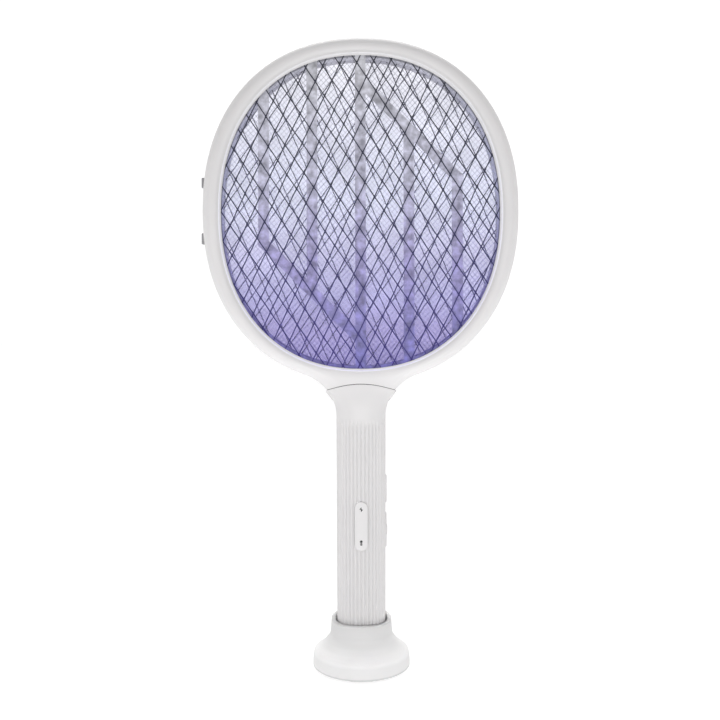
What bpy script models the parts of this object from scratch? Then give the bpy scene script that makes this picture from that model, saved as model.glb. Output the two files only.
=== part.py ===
"""Rechargeable electric fly swatter standing loosely in the collar of its round foot.

X is to the right, the front faces -Y and Z is up; the foot rests on z = 0 and is centred on the origin.
"""
import math

import bmesh
import bpy
from mathutils import Matrix, Vector

MM = 0.001

# ---- driving dimensions ----
RING_CENTRE_Z = 318.5 * MM          # height of the middle of the swatter head
RING_HALF_WIDTH = 111.0 * MM        # head, over its outside
RING_HALF_HEIGHT = 121.0 * MM
RING_POWER = 2.2                    # squareness of the head's outline (2 would be an ellipse)
RING_FACE = 13.2 * MM               # width of the frame round the nets
RING_HALF_DEPTH = 13.0 * MM
RING_WALL = 2.0 * MM

HANDLE_HALF_WIDTH = 17.3 * MM       # grip, just under the neck
HANDLE_HALF_DEPTH = 17.0 * MM
HANDLE_TAPER = 0.5 * MM             # the grip is this much narrower, each side, at its lower end
HANDLE_POWER = 2.6
HANDLE_WALL = 2.0 * MM
NECK_START_Z = 175.0 * MM           # where the straight grip ends and the neck opens out
NECK_SPREAD = 39.8 * MM             # half width at which the neck runs into the head
SEAM_RADIUS = 51.5 * MM             # arched joint between the head and the handle
SEAM_TOP_Z = 199.4 * MM

FOOT_RADIUS = 34.0 * MM
FOOT_EDGE_Z = 1.2 * MM
COLLAR_TOP_Z = 33.2 * MM
COLLAR_WALL = 3.2 * MM
COLLAR_CLEARANCE = 0.9 * MM         # loose fit of the grip in the collar
POCKET_FLOOR_Z = 6.2 * MM
SHELL_WALL = 2.0 * MM

NET_THICKNESS = 0.7 * MM
NET_STRAND = 1.0 * MM
NET_CELL_WIDTH = 18.0 * MM
NET_CELL_HEIGHT = 31.5 * MM
GRID_PITCH = 11.0 * MM              # upright wires of the middle net
NET_RIM = 3.7 * MM                  # plain border that the frame clamps
FLANGE_DEPTH = 8.6 * MM             # from the middle plane out to the flange the guard nets lie against
LATTICE_THICKNESS = 1.5 * MM
RIB_WIDTH = 7.4 * MM
RIB_PITCH = 33.8 * MM

BUTTON_HALF_WIDTH = 4.6 * MM
BUTTON_HALF_LENGTH = 17.0 * MM
BUTTON_Z = 100.5 * MM
BUTTON_PROUD = 0.6 * MM
BUTTON_TRAVEL = 1.0 * MM
SIDE_BUTTON_Z = 123.3 * MM
SIDE_BUTTON_HALF_LENGTH = 9.8 * MM
SIDE_BUTTON_HALF_DEPTH = 3.4 * MM
SIDE_BUTTON_PROUD = 0.9 * MM
BEZEL_Z = 94.6 * MM
BEZEL_HALF_LENGTH = 12.2 * MM
BEZEL_HALF_DEPTH = 3.8 * MM
BEZEL_PROUD = 0.8 * MM
KNOB_HALF_LENGTH = 3.6 * MM
KNOB_HALF_DEPTH = 1.9 * MM
KNOB_PROUD = 1.3 * MM
KNOB_TRAVEL = 3.0 * MM              # each way from the middle position

BUTTON_DEPTH = 3.2 * MM             # body of the long button, inside the shell
SIDE_BUTTON_DEPTH = 2.8 * MM
BEZEL_DEPTH = 2.4 * MM
KNOB_DEPTH = 3.4 * MM
SWITCH_GAP = 0.2 * MM               # between a fully pressed button and its switch
ICON_RADIUS = 1.7 * MM
ICON_HEIGHTS = (BUTTON_Z + 11.6 * MM, BUTTON_Z - 11.2 * MM)
LATCH_SPANS = ((334.8 * MM, 342.0 * MM), (295.2 * MM, 303.0 * MM))
LATCH_HALF_DEPTH = 2.4 * MM
LATCH_PROUD = 0.7 * MM
LATCH_REACH = 1.3 * MM              # how far a latch goes into the frame
SOCKET_Z = 140.0 * MM
SOCKET_HALF_WIDTH = 4.5 * MM
SOCKET_HALF_HEIGHT = 1.6 * MM
SOCKET_RECESS = 0.9 * MM

BATTERY_RADIUS = 9.1 * MM
BATTERY_LENGTH = 65.0 * MM
BATTERY_BASE_Z = 21.5 * MM
BATTERY_Y = 4.6 * MM
BOARD_THICKNESS = 1.2 * MM
BOARD_HALF_WIDTH = 12.0 * MM
BOARD_Y = -8.4 * MM                 # rear face of the main board
BOARD_BASE_Z = 70.0 * MM
BOARD_TOP_Z = 168.0 * MM
LED_COUNT = 3
LED_RADIUS = 1.5 * MM
LED_PITCH = 9.0 * MM
LED_POCKET_FLOOR_Z = SEAM_TOP_Z + 0.9 * MM
WIRE_WAY_HALF_WIDTH = 6.0 * MM      # passage for the leads, through the closing wall and the joint
WIRE_WAY_HALF_DEPTH = 4.0 * MM
LEAD_RADIUS = 0.7 * MM
LEAD_X = 4.6 * MM
SCREW_RADIUS = 1.2 * MM
SCREW_HEAD_RADIUS = 2.2 * MM
FOOT_SCREW_COUNT = 3
FOOT_SCREW_CIRCLE = 14.0 * MM
FRAME_SCREW_ANGLES = (0.0, 52.0, 128.0, 180.0, 230.0, 310.0)

FIT = 0.3 * MM                      # gap between pieces that touch
HALF_FIT = FIT / 2
HANDLE_END_Z = POCKET_FLOOR_Z + FIT     # underside of the end cap, just off the floor of the pocket
END_CAP_HEIGHT = 2.7 * MM
HANDLE_BASE_Z = HANDLE_END_Z + END_CAP_HEIGHT
HOLLOW_TOP_Z = SEAM_TOP_Z - 12.0 * MM   # closing wall of the grip, under the arched joint
SMOOTH_ANGLE = math.radians(32)

COLOURS = {
    "shell_white": ((0.80, 0.79, 0.78), 0.42, 0.0),
    "stand_white": ((0.80, 0.79, 0.78), 0.45, 0.0),
    "rib_grey": ((0.62, 0.62, 0.72), 0.5, 0.0),
    "net_metal": ((0.06, 0.06, 0.09), 0.4, 0.9),
    "grid_metal": ((0.42, 0.42, 0.52), 0.35, 0.9),
    "dark_plastic": ((0.05, 0.05, 0.06), 0.5, 0.0),
    "rubber": ((0.30, 0.30, 0.31), 0.8, 0.0),
    "steel": ((0.55, 0.56, 0.58), 0.3, 1.0),
    "board_green": ((0.03, 0.20, 0.09), 0.5, 0.0),
    "cell_wrap": ((0.05, 0.22, 0.50), 0.35, 0.0),
    "coil_yellow": ((0.70, 0.50, 0.08), 0.5, 0.0),
    "chip_black": ((0.02, 0.02, 0.02), 0.4, 0.0),
    "led_lens": ((0.45, 0.30, 0.95), 0.15, 0.0),
    "diffuser": ((0.75, 0.72, 0.95), 0.4, 0.0),
    "lead_red": ((0.55, 0.03, 0.03), 0.5, 0.0),
    "lead_black": ((0.02, 0.02, 0.02), 0.5, 0.0),
}


# ---- scene and mesh helpers ----
def clear_scene():
    for item in list(bpy.data.objects):
        bpy.data.objects.remove(item, do_unlink=True)


def make_material(name):
    colour, roughness, metallic = COLOURS[name]
    material = bpy.data.materials.get(name) or bpy.data.materials.new(name)
    material.use_nodes = True
    shader = material.node_tree.nodes["Principled BSDF"]
    shader.inputs["Base Color"].default_value = (*colour, 1.0)
    shader.inputs["Roughness"].default_value = roughness
    shader.inputs["Metallic"].default_value = metallic
    return material


def make_object(name, bm, material=None, at=(0.0, 0.0, 0.0)):
    bmesh.ops.recalc_face_normals(bm, faces=bm.faces)
    bmesh.ops.translate(bm, verts=bm.verts, vec=-Vector(at))
    mesh = bpy.data.meshes.new(name)
    bm.to_mesh(mesh)
    bm.free()
    mesh.shade_smooth()
    mesh.set_sharp_from_angle(angle=SMOOTH_ANGLE)
    thing = bpy.data.objects.new(name, mesh)
    thing.location = at
    bpy.context.scene.collection.objects.link(thing)
    if material:
        mesh.materials.append(make_material(material))
    return thing


def make_cutter(name, bm):
    cutter = make_object(name, bm)
    cutter.display_type = "WIRE"
    cutter.hide_render = True
    return cutter


def combine(thing, cutter, operation="DIFFERENCE"):
    modifier = thing.modifiers.new(f"{operation.title()} {cutter.name}", "BOOLEAN")
    modifier.operation = operation
    modifier.object = cutter
    return modifier


def loft(loops, closed=False):
    """Skin through loops of equal length; the ends are capped unless the path is closed."""
    bm = bmesh.new()
    rows = [[bm.verts.new(point) for point in loop] for loop in loops]
    pairs = list(zip(rows, rows[1:]))
    if closed:
        pairs.append((rows[-1], rows[0]))
    for lower, upper in pairs:
        for index in range(len(lower)):
            following = (index + 1) % len(lower)
            bm.faces.new((lower[index], lower[following], upper[following], upper[index]))
    if not closed:
        bm.faces.new(rows[0])
        bm.faces.new(rows[-1])
    return bm


def box(low, high, rounding=0.0, segments=2):
    bm = bmesh.new()
    centre = (Vector(low) + Vector(high)) / 2
    size = Vector(high) - Vector(low)
    bmesh.ops.create_cube(bm, size=1.0, matrix=Matrix.Translation(centre) @ Matrix.Diagonal((*size, 1.0)))
    if rounding:
        bmesh.ops.bevel(bm, geom=bm.edges[:], offset=rounding, segments=segments, profile=0.5,
                        affect="EDGES", clamp_overlap=True)
    return bm


def turned(profile, base, axis, segments=16):
    """Solid of revolution: profile holds (radius, distance along axis from base)."""
    turn = Vector((0.0, 0.0, 1.0)).rotation_difference(Vector(axis)).to_matrix()
    loops = []
    for radius, along in profile:
        loop = []
        for index in range(segments):
            angle = 2 * math.pi * index / segments
            flat = Vector((radius * math.cos(angle), radius * math.sin(angle), along))
            loop.append(Vector(base) + turn @ flat)
        loops.append(loop)
    return loft(loops)


def cylinder(radius, base, axis, length, segments=16):
    return turned([(radius, 0.0), (radius, length)], base, axis, segments)


def merge(first, second):
    """Adds the second bmesh to the first, for a cutter made of several bodies."""
    scratch = bpy.data.meshes.new("scratch")
    second.to_mesh(scratch)
    second.free()
    first.from_mesh(scratch)
    bpy.data.meshes.remove(scratch)
    return first


def signed_power(value, power):
    return math.copysign(abs(value) ** power, value)


def superellipse(half_x, half_y, power, count):
    points = []
    for index in range(count):
        angle = 2 * math.pi * (index + 0.5) / count
        points.append((half_x * signed_power(math.cos(angle), 2 / power),
                       half_y * signed_power(math.sin(angle), 2 / power)))
    return points


def level_loop(half_x, half_y, power, height, count):
    return [(x, y, height) for x, y in superellipse(half_x, half_y, power, count)]


# ---- swatter head ----
def ring_point(angle, inset, depth):
    """Point on the head's frame: inset is measured in from its outer edge, depth along Y."""
    across = RING_HALF_WIDTH - inset
    upward = RING_HALF_HEIGHT - inset * (RING_FACE - 1.0 * MM) / RING_FACE
    return Vector((across * signed_power(math.cos(angle), 2 / RING_POWER), depth,
                   RING_CENTRE_Z + upward * signed_power(math.sin(angle), 2 / RING_POWER)))


def ring_sweep(section, count=60):
    """Closed ring with a section of (inset, depth) points."""
    return loft([[ring_point(2 * math.pi * (k + 0.5) / count, inset, depth) for inset, depth in section]
                 for k in range(count)], closed=True)


def ring_arc(section, gap_angle, count=46):
    """Ring that stays open over gap_angle at its lowest point."""
    start = -math.pi / 2 + gap_angle / 2
    sweep = 2 * math.pi - gap_angle
    return loft([[ring_point(start + sweep * k / count, inset, depth) for inset, depth in section]
                 for k in range(count + 1)])


def ring_plate(inset, low, high, count=48):
    """Solid plate with the outline of the frame at the given inset."""
    return loft([[ring_point(2 * math.pi * (k + 0.5) / count, inset, depth) for k in range(count)]
                 for depth in (low, high)])


def frame_section(side):
    """Hollow section of one frame half; side is -1 at the front and 1 at the rear."""
    face = RING_FACE
    crown = RING_HALF_DEPTH
    wall = RING_WALL
    points = [(0.0, HALF_FIT), (0.0, 0.52 * crown), (0.06 * face, 0.75 * crown), (0.24 * face, 0.94 * crown),
              (0.50 * face, crown), (0.78 * face, 0.95 * crown), (0.96 * face, 0.82 * crown),
              (face, FLANGE_DEPTH), (0.78 * face, FLANGE_DEPTH), (0.70 * face, crown - 1.2 * wall),
              (0.34 * face, crown - 1.4 * wall), (wall, 0.52 * crown), (wall, HALF_FIT)]
    return [(inset, side * depth) for inset, depth in points]


def neck_levels(count=7):
    """(half width, half depth, power, height) up the neck, from the grip into the head."""
    end = ring_point(-math.acos((NECK_SPREAD / RING_HALF_WIDTH) ** (RING_POWER / 2)), 0.0, 0.0)
    slope_run = 12.0 * MM
    slope_rise = 4.1 * MM
    upright = 0.45 * (end.z - NECK_START_Z)
    points = [Vector((HANDLE_HALF_WIDTH, NECK_START_Z)), Vector((HANDLE_HALF_WIDTH, NECK_START_Z + upright)),
              Vector((end.x - slope_run, end.z - slope_rise)), Vector((end.x, end.z))]
    levels = []
    for index in range(count + 1):
        t = index / count
        weights = ((1 - t) ** 3, 3 * t * (1 - t) ** 2, 3 * t * t * (1 - t), t ** 3)
        place = sum((point * weight for point, weight in zip(points, weights)), Vector((0.0, 0.0)))
        blend = t * t * (3 - 2 * t)
        depth = HANDLE_HALF_DEPTH + (0.90 * RING_HALF_DEPTH - HANDLE_HALF_DEPTH) * blend
        levels.append((place.x, depth, HANDLE_POWER + 1.2 * blend, place.y))
    return levels


def neck_top_z():
    """The neck block ends inside the frame, short of the net stack."""
    return RING_CENTRE_Z - RING_HALF_HEIGHT + 0.66 * RING_FACE


def body_loft(start_levels, shrink=0.0, top=None, count=40):
    """Skin of grip and neck; shrink insets it for the hollow, top stops it early."""
    levels = start_levels + neck_levels()
    last = neck_levels()[-1]
    if top is None:
        levels.append((last[0], last[1], last[2], neck_top_z()))
    else:
        levels = [level for level in levels if level[3] < top - 1.0 * MM]
        edge = levels[-1]
        levels.append((edge[0], edge[1], edge[2], top))
    return loft([level_loop(x - shrink, y - shrink, power, z, count) for x, y, power, z in levels])


def grip_level(height):
    """The grip narrows evenly from the neck down to its end."""
    share = (NECK_START_Z - height) / NECK_START_Z
    return (HANDLE_HALF_WIDTH - HANDLE_TAPER * share, HANDLE_HALF_DEPTH - HANDLE_TAPER * share, HANDLE_POWER,
            height)


def seam_prism(offset, steps=24):
    """Everything under the arched joint, as a prism along Y."""
    reach = 42.0 * MM
    radius = SEAM_RADIUS + offset
    centre_z = SEAM_TOP_Z - SEAM_RADIUS
    outline = [(reach, -10.0 * MM)]
    for index in range(steps + 1):
        x = reach - 2 * reach * index / steps
        outline.append((x, centre_z + math.sqrt(radius * radius - x * x)))
    outline.append((-reach, -10.0 * MM))
    return loft([[(x, depth, z) for x, z in outline] for depth in (-40.0 * MM, 40.0 * MM)])


def half_space(side):
    """Block that holds the front (-1) or the rear (1) half, up to the parting plane."""
    near = side * HALF_FIT
    far = side * 60.0 * MM
    return box((-130.0 * MM, min(near, far), -10.0 * MM), (130.0 * MM, max(near, far), 460.0 * MM))


def wire_way_block(top):
    return box((-WIRE_WAY_HALF_WIDTH, -WIRE_WAY_HALF_DEPTH, HOLLOW_TOP_Z - 2.0 * MM),
               (WIRE_WAY_HALF_WIDTH, WIRE_WAY_HALF_DEPTH, top))


def frame_screw_places():
    """Middle of the hollow between the frame's outer edge and the nets."""
    return [ring_point(math.radians(angle), (net_inset() - FIT) / 2, 0.0) for angle in FRAME_SCREW_ANGLES]


def make_latches():
    """Two small latches on the left edge of the head."""
    for name, (low, high) in zip(("head_latch_upper", "head_latch_lower"), LATCH_SPANS):
        latch = box((-RING_HALF_WIDTH - LATCH_PROUD, -LATCH_HALF_DEPTH, low),
                    (-RING_HALF_WIDTH + LATCH_REACH, LATCH_HALF_DEPTH, high), rounding=0.4 * MM, segments=1)
        make_object(name, latch, "dark_plastic")


def make_frames():
    led_pocket_half = (LED_COUNT - 1) / 2 * LED_PITCH + 6.5 * MM
    wire_way = wire_way_block(neck_top_z() + 1.0 * MM)
    pocket = box((-led_pocket_half, -0.5 * MM, LED_POCKET_FLOOR_Z),
                 (led_pocket_half, 7.8 * MM, neck_top_z() + 1.0 * MM))
    wire_way_cutter = make_cutter("cut_wire_way", wire_way)
    pocket_cutter = make_cutter("cut_led_pocket", pocket)
    latch_bm = None
    for low, high in LATCH_SPANS:
        slot = box((-RING_HALF_WIDTH - 2.0 * MM, -LATCH_HALF_DEPTH - FIT, low - FIT),
                   (-RING_HALF_WIDTH + LATCH_REACH + FIT, LATCH_HALF_DEPTH + FIT, high + FIT))
        latch_bm = merge(latch_bm, slot) if latch_bm else slot
    latch_cutter = make_cutter("cut_latches", latch_bm)
    head_seam = make_cutter("cut_head_seam", seam_prism(FIT))
    neck_cutter = {side: make_cutter(f"join_neck_{name}", body_loft([grip_level(150.0 * MM)]))
                   for side, name in ((-1, "front"), (1, "rear"))}

    for side, name in ((-1, "head_front_frame"), (1, "head_rear_frame")):
        frame = make_object(name, ring_sweep(frame_section(side)), "shell_white")
        combine(neck_cutter[side], make_cutter(f"keep_{name}", half_space(side)), "INTERSECT")
        combine(frame, neck_cutter[side], "UNION")
        posts = None
        for place in frame_screw_places():
            if side < 0:
                post = cylinder(SCREW_RADIUS + 1.3 * MM, (place.x, -RING_HALF_DEPTH + 1.2 * RING_WALL, place.z),
                                (0, 1, 0), RING_HALF_DEPTH - 1.2 * RING_WALL - 1.0 * MM, 12)
            else:
                post = cylinder(SCREW_HEAD_RADIUS + 1.0 * MM, (place.x, 2.0 * MM, place.z), (0, 1, 0),
                                0.75 * RING_HALF_DEPTH - 2.0 * MM, 8)
            posts = merge(posts, post) if posts else post
        combine(frame, make_cutter(f"join_posts_{name}", posts), "UNION")
        holes = None
        for place in frame_screw_places():
            if side < 0:
                hole = cylinder(SCREW_RADIUS + FIT, (place.x, -6.4 * MM, place.z), (0, 1, 0), 8.0 * MM, 8)
            else:
                hole = turned([(SCREW_RADIUS + FIT, 0.0), (SCREW_RADIUS + FIT, 7.0 * MM),
                               (SCREW_HEAD_RADIUS + FIT, 7.0 * MM), (SCREW_HEAD_RADIUS + FIT, 16.0 * MM)],
                              (place.x, 0.0, place.z), (0, 1, 0), 8)
            holes = merge(holes, hole) if holes else hole
        combine(frame, make_cutter(f"cut_holes_{name}", holes))
        combine(frame, head_seam)
        combine(frame, wire_way_cutter)
        if side > 0:
            combine(frame, pocket_cutter)
        combine(frame, latch_cutter)


def make_frame_screws():
    for index, place in enumerate(frame_screw_places(), start=1):
        screw = turned([(SCREW_RADIUS, 0.0), (SCREW_RADIUS, 11.3 * MM), (SCREW_HEAD_RADIUS, 11.3 * MM),
                        (SCREW_HEAD_RADIUS, 12.7 * MM)], (place.x, -4.0 * MM, place.z), (0, 1, 0), 8)
        make_object(f"frame_screw_{index}", screw, "steel")


def net_inset():
    """Outer edge of nets and spacers, inside the hollow of the frame."""
    return 0.72 * RING_FACE


def grid_slots():
    """Upright openings between the fine wires of the middle net."""
    slots = bmesh.new()
    columns = math.ceil(RING_HALF_WIDTH / GRID_PITCH)
    reach = RING_HALF_HEIGHT
    half_width = (GRID_PITCH - NET_STRAND) / 2
    for column in range(-columns, columns + 1):
        x = column * GRID_PITCH
        slots = merge(slots, box((x - half_width, -0.03, RING_CENTRE_Z - reach),
                                 (x + half_width, 0.03, RING_CENTRE_Z + reach)))
    return slots


def net_cells(offset_x):
    """Diamond openings between the strands, as upright prisms along Y."""
    half_width = NET_CELL_WIDTH / 2 - NET_STRAND
    half_height = NET_CELL_HEIGHT / 2 - NET_STRAND * NET_CELL_HEIGHT / NET_CELL_WIDTH
    columns = math.ceil(2 * RING_HALF_WIDTH / NET_CELL_WIDTH) + 1
    rows = math.ceil(2 * RING_HALF_HEIGHT / NET_CELL_HEIGHT) + 1
    cells = bmesh.new()
    for column in range(-columns, columns + 1):
        for row in range(-rows, rows + 1):
            if (column + row) % 2:
                continue
            x = offset_x + column * NET_CELL_WIDTH / 2
            z = RING_CENTRE_Z + row * NET_CELL_HEIGHT / 2
            corners = ((x + half_width, z), (x, z + half_height), (x - half_width, z), (x, z - half_height))
            cells = merge(cells, loft([[(cx, depth, cz) for cx, cz in corners] for depth in (-0.03, 0.03)]))
    bmesh.ops.recalc_face_normals(cells, faces=cells.faces)
    return cells


def make_nets():
    places = (("front_guard_net", -FLANGE_DEPTH + FIT + NET_THICKNESS / 2, net_cells(0.0), "net_metal"),
              ("high_voltage_net", 0.0, grid_slots(), "grid_metal"),
              ("rear_guard_net", FLANGE_DEPTH - FIT - NET_THICKNESS / 2, net_cells(NET_CELL_WIDTH / 4),
               "net_metal"))
    for name, depth, openings, material in places:
        low = depth - NET_THICKNESS / 2
        high = depth + NET_THICKNESS / 2
        net = make_object(name, ring_plate(net_inset(), low, high), material)
        cells = make_cutter(f"cut_{name}", openings)
        combine(cells, make_cutter(f"keep_{name}", ring_plate(net_inset() + NET_RIM, -0.02, 0.02)), "INTERSECT")
        combine(net, cells)


def rib_bar(start, end, low, high):
    """Flat bar between two (x, z) points."""
    start = Vector(start)
    end = Vector(end)
    along = (end - start).normalized()
    across = Vector((-along.y, along.x)) * RIB_WIDTH / 2
    corners = (start + across, end + across, end - across, start - across)
    return loft([[(corner.x, depth, corner.y) for corner in corners] for depth in (low, high)])


def make_lattice():
    """Moulded support behind the front net: a rim, five upright ribs and two slanting ones."""
    low = -FLANGE_DEPTH + 2 * FIT + NET_THICKNESS
    high = low + LATTICE_THICKNESS
    rim = [(net_inset(), low), (net_inset() + NET_RIM, low), (net_inset() + NET_RIM, high), (net_inset(), high)]
    lattice = make_object("support_lattice", ring_sweep(rim, 48), "rib_grey")
    reach = RING_HALF_HEIGHT
    upper_knee = 23.0 * MM          # outer end of the upper slanting rib, above the middle of the head
    upper_root = 90.5 * MM          # its inner end, on the middle rib
    inner_knee = 54.0 * MM
    centre = RING_CENTRE_Z
    ribs = [((0.0, centre - reach), (0.0, centre + reach))]
    for turn in (1, -1):            # the lattice looks the same when turned half a turn
        ribs.append(((-turn * 2 * RIB_PITCH, centre + turn * reach),
                     (-turn * 2 * RIB_PITCH, centre - turn * (upper_knee + RIB_WIDTH / 3))))
        ribs.append(((-turn * RIB_PITCH, centre + turn * reach), (-turn * RIB_PITCH, centre - turn * inner_knee)))
        ribs.append(((turn * 2.06 * RIB_PITCH, centre + turn * (upper_knee - 2.0 * MM)),
                     (0.0, centre + turn * upper_root)))
    bounds = make_cutter("keep_ribs", ring_plate(net_inset() + NET_RIM / 2, -0.02, 0.02))
    for index, (start, end) in enumerate(ribs):
        bar = make_cutter(f"join_rib_{index}", rib_bar(start, end, low, high))
        combine(bar, bounds, "INTERSECT")
        combine(lattice, bar, "UNION")


def make_spacers():
    front_low = -FLANGE_DEPTH + 3 * FIT + NET_THICKNESS + LATTICE_THICKNESS
    front_high = -NET_THICKNESS / 2 - FIT
    rear_low = -front_high
    rear_high = FLANGE_DEPTH - 2 * FIT - NET_THICKNESS
    outer = net_inset()
    inner = net_inset() + NET_RIM
    front = ring_sweep([(outer, front_low), (inner, front_low), (inner, front_high), (outer, front_high)], 48)
    make_object("front_spacer_ring", front, "rib_grey")
    rear = ring_arc([(outer, rear_low), (inner, rear_low), (inner, rear_high), (outer, rear_high)],
                    math.radians(20))
    make_object("rear_spacer_ring", rear, "rib_grey")


def make_light():
    """Attracting light in the neck: lamps on a small board behind a diffuser bar."""
    half = (LED_COUNT - 1) / 2 * LED_PITCH + 5.0 * MM
    base = LED_POCKET_FLOOR_Z + FIT
    y_low = 1.0 * MM
    y_high = 6.6 * MM
    board = box((-half, y_low, base), (half, y_high, base + BOARD_THICKNESS))
    make_object("light_board", board, "board_green")
    lamp_base = base + BOARD_THICKNESS + FIT
    diffuser_top = RING_CENTRE_Z - RING_HALF_HEIGHT + RING_FACE - 1.0 * MM - FIT
    diffuser_low = diffuser_top - 1.5 * MM
    for index in range(LED_COUNT):
        x = (index - (LED_COUNT - 1) / 2) * LED_PITCH
        height = diffuser_low - FIT - lamp_base
        lamp = turned([(LED_RADIUS, 0.0), (LED_RADIUS, 0.6 * height), (0.55 * LED_RADIUS, height)],
                      (x, (y_low + y_high) / 2, lamp_base), (0, 0, 1), 12)
        make_object(f"light_lamp_{index + 1}", lamp, "led_lens")
    diffuser = box((-half, y_low, diffuser_low), (half, y_high, diffuser_top), rounding=0.3 * MM, segments=1)
    make_object("light_diffuser", diffuser, "diffuser")


# ---- handle ----
def stadium_prism(half_length, half_width, low, high, place, along, outward, count=8):
    """Round-ended block: long axis `along`, extruded from low to high on `outward`."""
    along = Vector(along)
    outward = Vector(outward)
    across = outward.cross(along)
    outline = []
    straight = half_length - half_width
    for end, turn in ((1, 0.0), (-1, math.pi)):
        for index in range(count + 1):
            angle = turn + math.pi * index / count
            outline.append(Vector((half_width * math.cos(angle), end * straight + half_width * math.sin(angle))))
    rows = []
    for level in (low, high):
        rows.append([Vector(place) + across * point.x + along * point.y + outward * level for point in outline])
    return loft(rows)


def grip_surface_y(height):
    return -grip_level(height)[1]


def grip_surface_x(height):
    return grip_level(height)[0]


def handle_hollow():
    """Inside of the grip: open at its lower end, it stops in a closing wall under the neck."""
    return body_loft([grip_level(2.0 * MM)], HANDLE_WALL, HOLLOW_TOP_Z, 32)


def handle_screw_places():
    return [(0.0, 15.8 * MM), (0.0, 176.0 * MM)]


def make_handle():
    button_y = grip_surface_y(BUTTON_Z)
    hollow = make_cutter("cut_handle_hollow", handle_hollow())
    seam = make_cutter("keep_under_seam", seam_prism(0.0))
    wire_way = make_cutter("cut_handle_wire_way", wire_way_block(SEAM_TOP_Z + 10.0 * MM))
    button_hole = make_cutter("cut_button_hole", stadium_prism(
        BUTTON_HALF_LENGTH + FIT, BUTTON_HALF_WIDTH + FIT, -6.0 * MM, 6.0 * MM, (0.0, button_y, BUTTON_Z),
        (0, 0, 1), (0, -1, 0)))
    side_x = grip_surface_x(SIDE_BUTTON_Z)
    side_hole = make_cutter("cut_side_button", stadium_prism(
        SIDE_BUTTON_HALF_LENGTH + FIT, SIDE_BUTTON_HALF_DEPTH + FIT, -6.0 * MM, 6.0 * MM,
        (side_x, 0.0, SIDE_BUTTON_Z), (0, 0, 1), (1, 0, 0)))
    bezel_x = grip_surface_x(BEZEL_Z)
    bezel_hole = make_cutter("cut_bezel", stadium_prism(
        BEZEL_HALF_LENGTH + FIT, BEZEL_HALF_DEPTH + FIT, -6.0 * MM, 6.0 * MM, (bezel_x, 0.0, BEZEL_Z),
        (0, 0, 1), (1, 0, 0)))
    port_hole = make_cutter("cut_charge_port", stadium_prism(
        SOCKET_HALF_WIDTH + FIT, SOCKET_HALF_HEIGHT + FIT, 8.0 * MM, 20.0 * MM, (0.0, 0.0, SOCKET_Z),
        (1, 0, 0), (0, 1, 0)))

    post_root = HANDLE_HALF_DEPTH - HANDLE_TAPER - 0.5 * HANDLE_WALL
    front = make_object("handle_front_shell", body_loft([grip_level(HANDLE_BASE_Z)]), "shell_white")
    rear = make_object("handle_rear_shell", body_loft([grip_level(HANDLE_BASE_Z)]), "shell_white")
    for shell, side, name in ((front, -1, "front"), (rear, 1, "rear")):
        combine(shell, hollow)
        posts = None
        for x, z in handle_screw_places():
            if side < 0:
                post = cylinder(3.0 * MM, (x, -post_root, z), (0, 1, 0), post_root + 5.0 * MM, 12)
            else:
                post = cylinder(3.4 * MM, (x, 6.0 * MM, z), (0, 1, 0), post_root - 6.0 * MM, 12)
            posts = merge(posts, post) if posts else post
        keep = make_cutter(f"keep_handle_{name}", half_space(side))
        combine(shell, keep, "INTERSECT")
        combine(shell, seam, "INTERSECT")
        combine(shell, wire_way)
        combine(shell, make_cutter(f"join_posts_handle_{name}", posts), "UNION")
        holes = None
        for x, z in handle_screw_places():
            if side < 0:
                hole = cylinder(SCREW_RADIUS + FIT, (x, -2.0 * MM, z), (0, 1, 0), 9.0 * MM, 12)
            else:
                hole = turned([(SCREW_RADIUS + FIT, 0.0), (SCREW_RADIUS + FIT, 8.0 * MM),
                               (SCREW_HEAD_RADIUS + FIT, 8.0 * MM), (SCREW_HEAD_RADIUS + FIT, 20.0 * MM)],
                              (x, 4.0 * MM, z), (0, 1, 0), 12)
            holes = merge(holes, hole) if holes else hole
        combine(shell, make_cutter(f"cut_holes_handle_{name}", holes))
        combine(shell, side_hole)
        combine(shell, bezel_hole)
    combine(front, button_hole)
    combine(rear, port_hole)

    for index, (x, z) in enumerate(handle_screw_places(), start=1):
        screw = turned([(SCREW_RADIUS, 0.0), (SCREW_RADIUS, 13.4 * MM), (SCREW_HEAD_RADIUS, 13.4 * MM),
                        (SCREW_HEAD_RADIUS, 14.8 * MM)], (x, -1.0 * MM, z), (0, 1, 0), 12)
        make_object(f"handle_screw_{index}", screw, "steel")


def make_end_cap():
    """Plug that closes the lower end of the grip."""
    wide_x, wide_y, power, _ = grip_level(HANDLE_BASE_Z)
    inner = HANDLE_WALL + FIT
    top = HANDLE_BASE_Z - FIT
    levels = [(wide_x - 1.4 * MM, wide_y - 1.4 * MM, HANDLE_END_Z), (wide_x - 0.4 * MM, wide_y - 0.4 * MM,
              HANDLE_END_Z + 0.4 * MM), (wide_x, wide_y, HANDLE_END_Z + 1.3 * MM), (wide_x, wide_y, top),
              (wide_x - inner, wide_y - inner, top), (wide_x - inner, wide_y - inner, top + 3.0 * MM)]
    cap = loft([level_loop(x, y, power, z, 40) for x, y, z in levels])
    make_object("handle_end_cap", cap, "shell_white")


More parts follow.
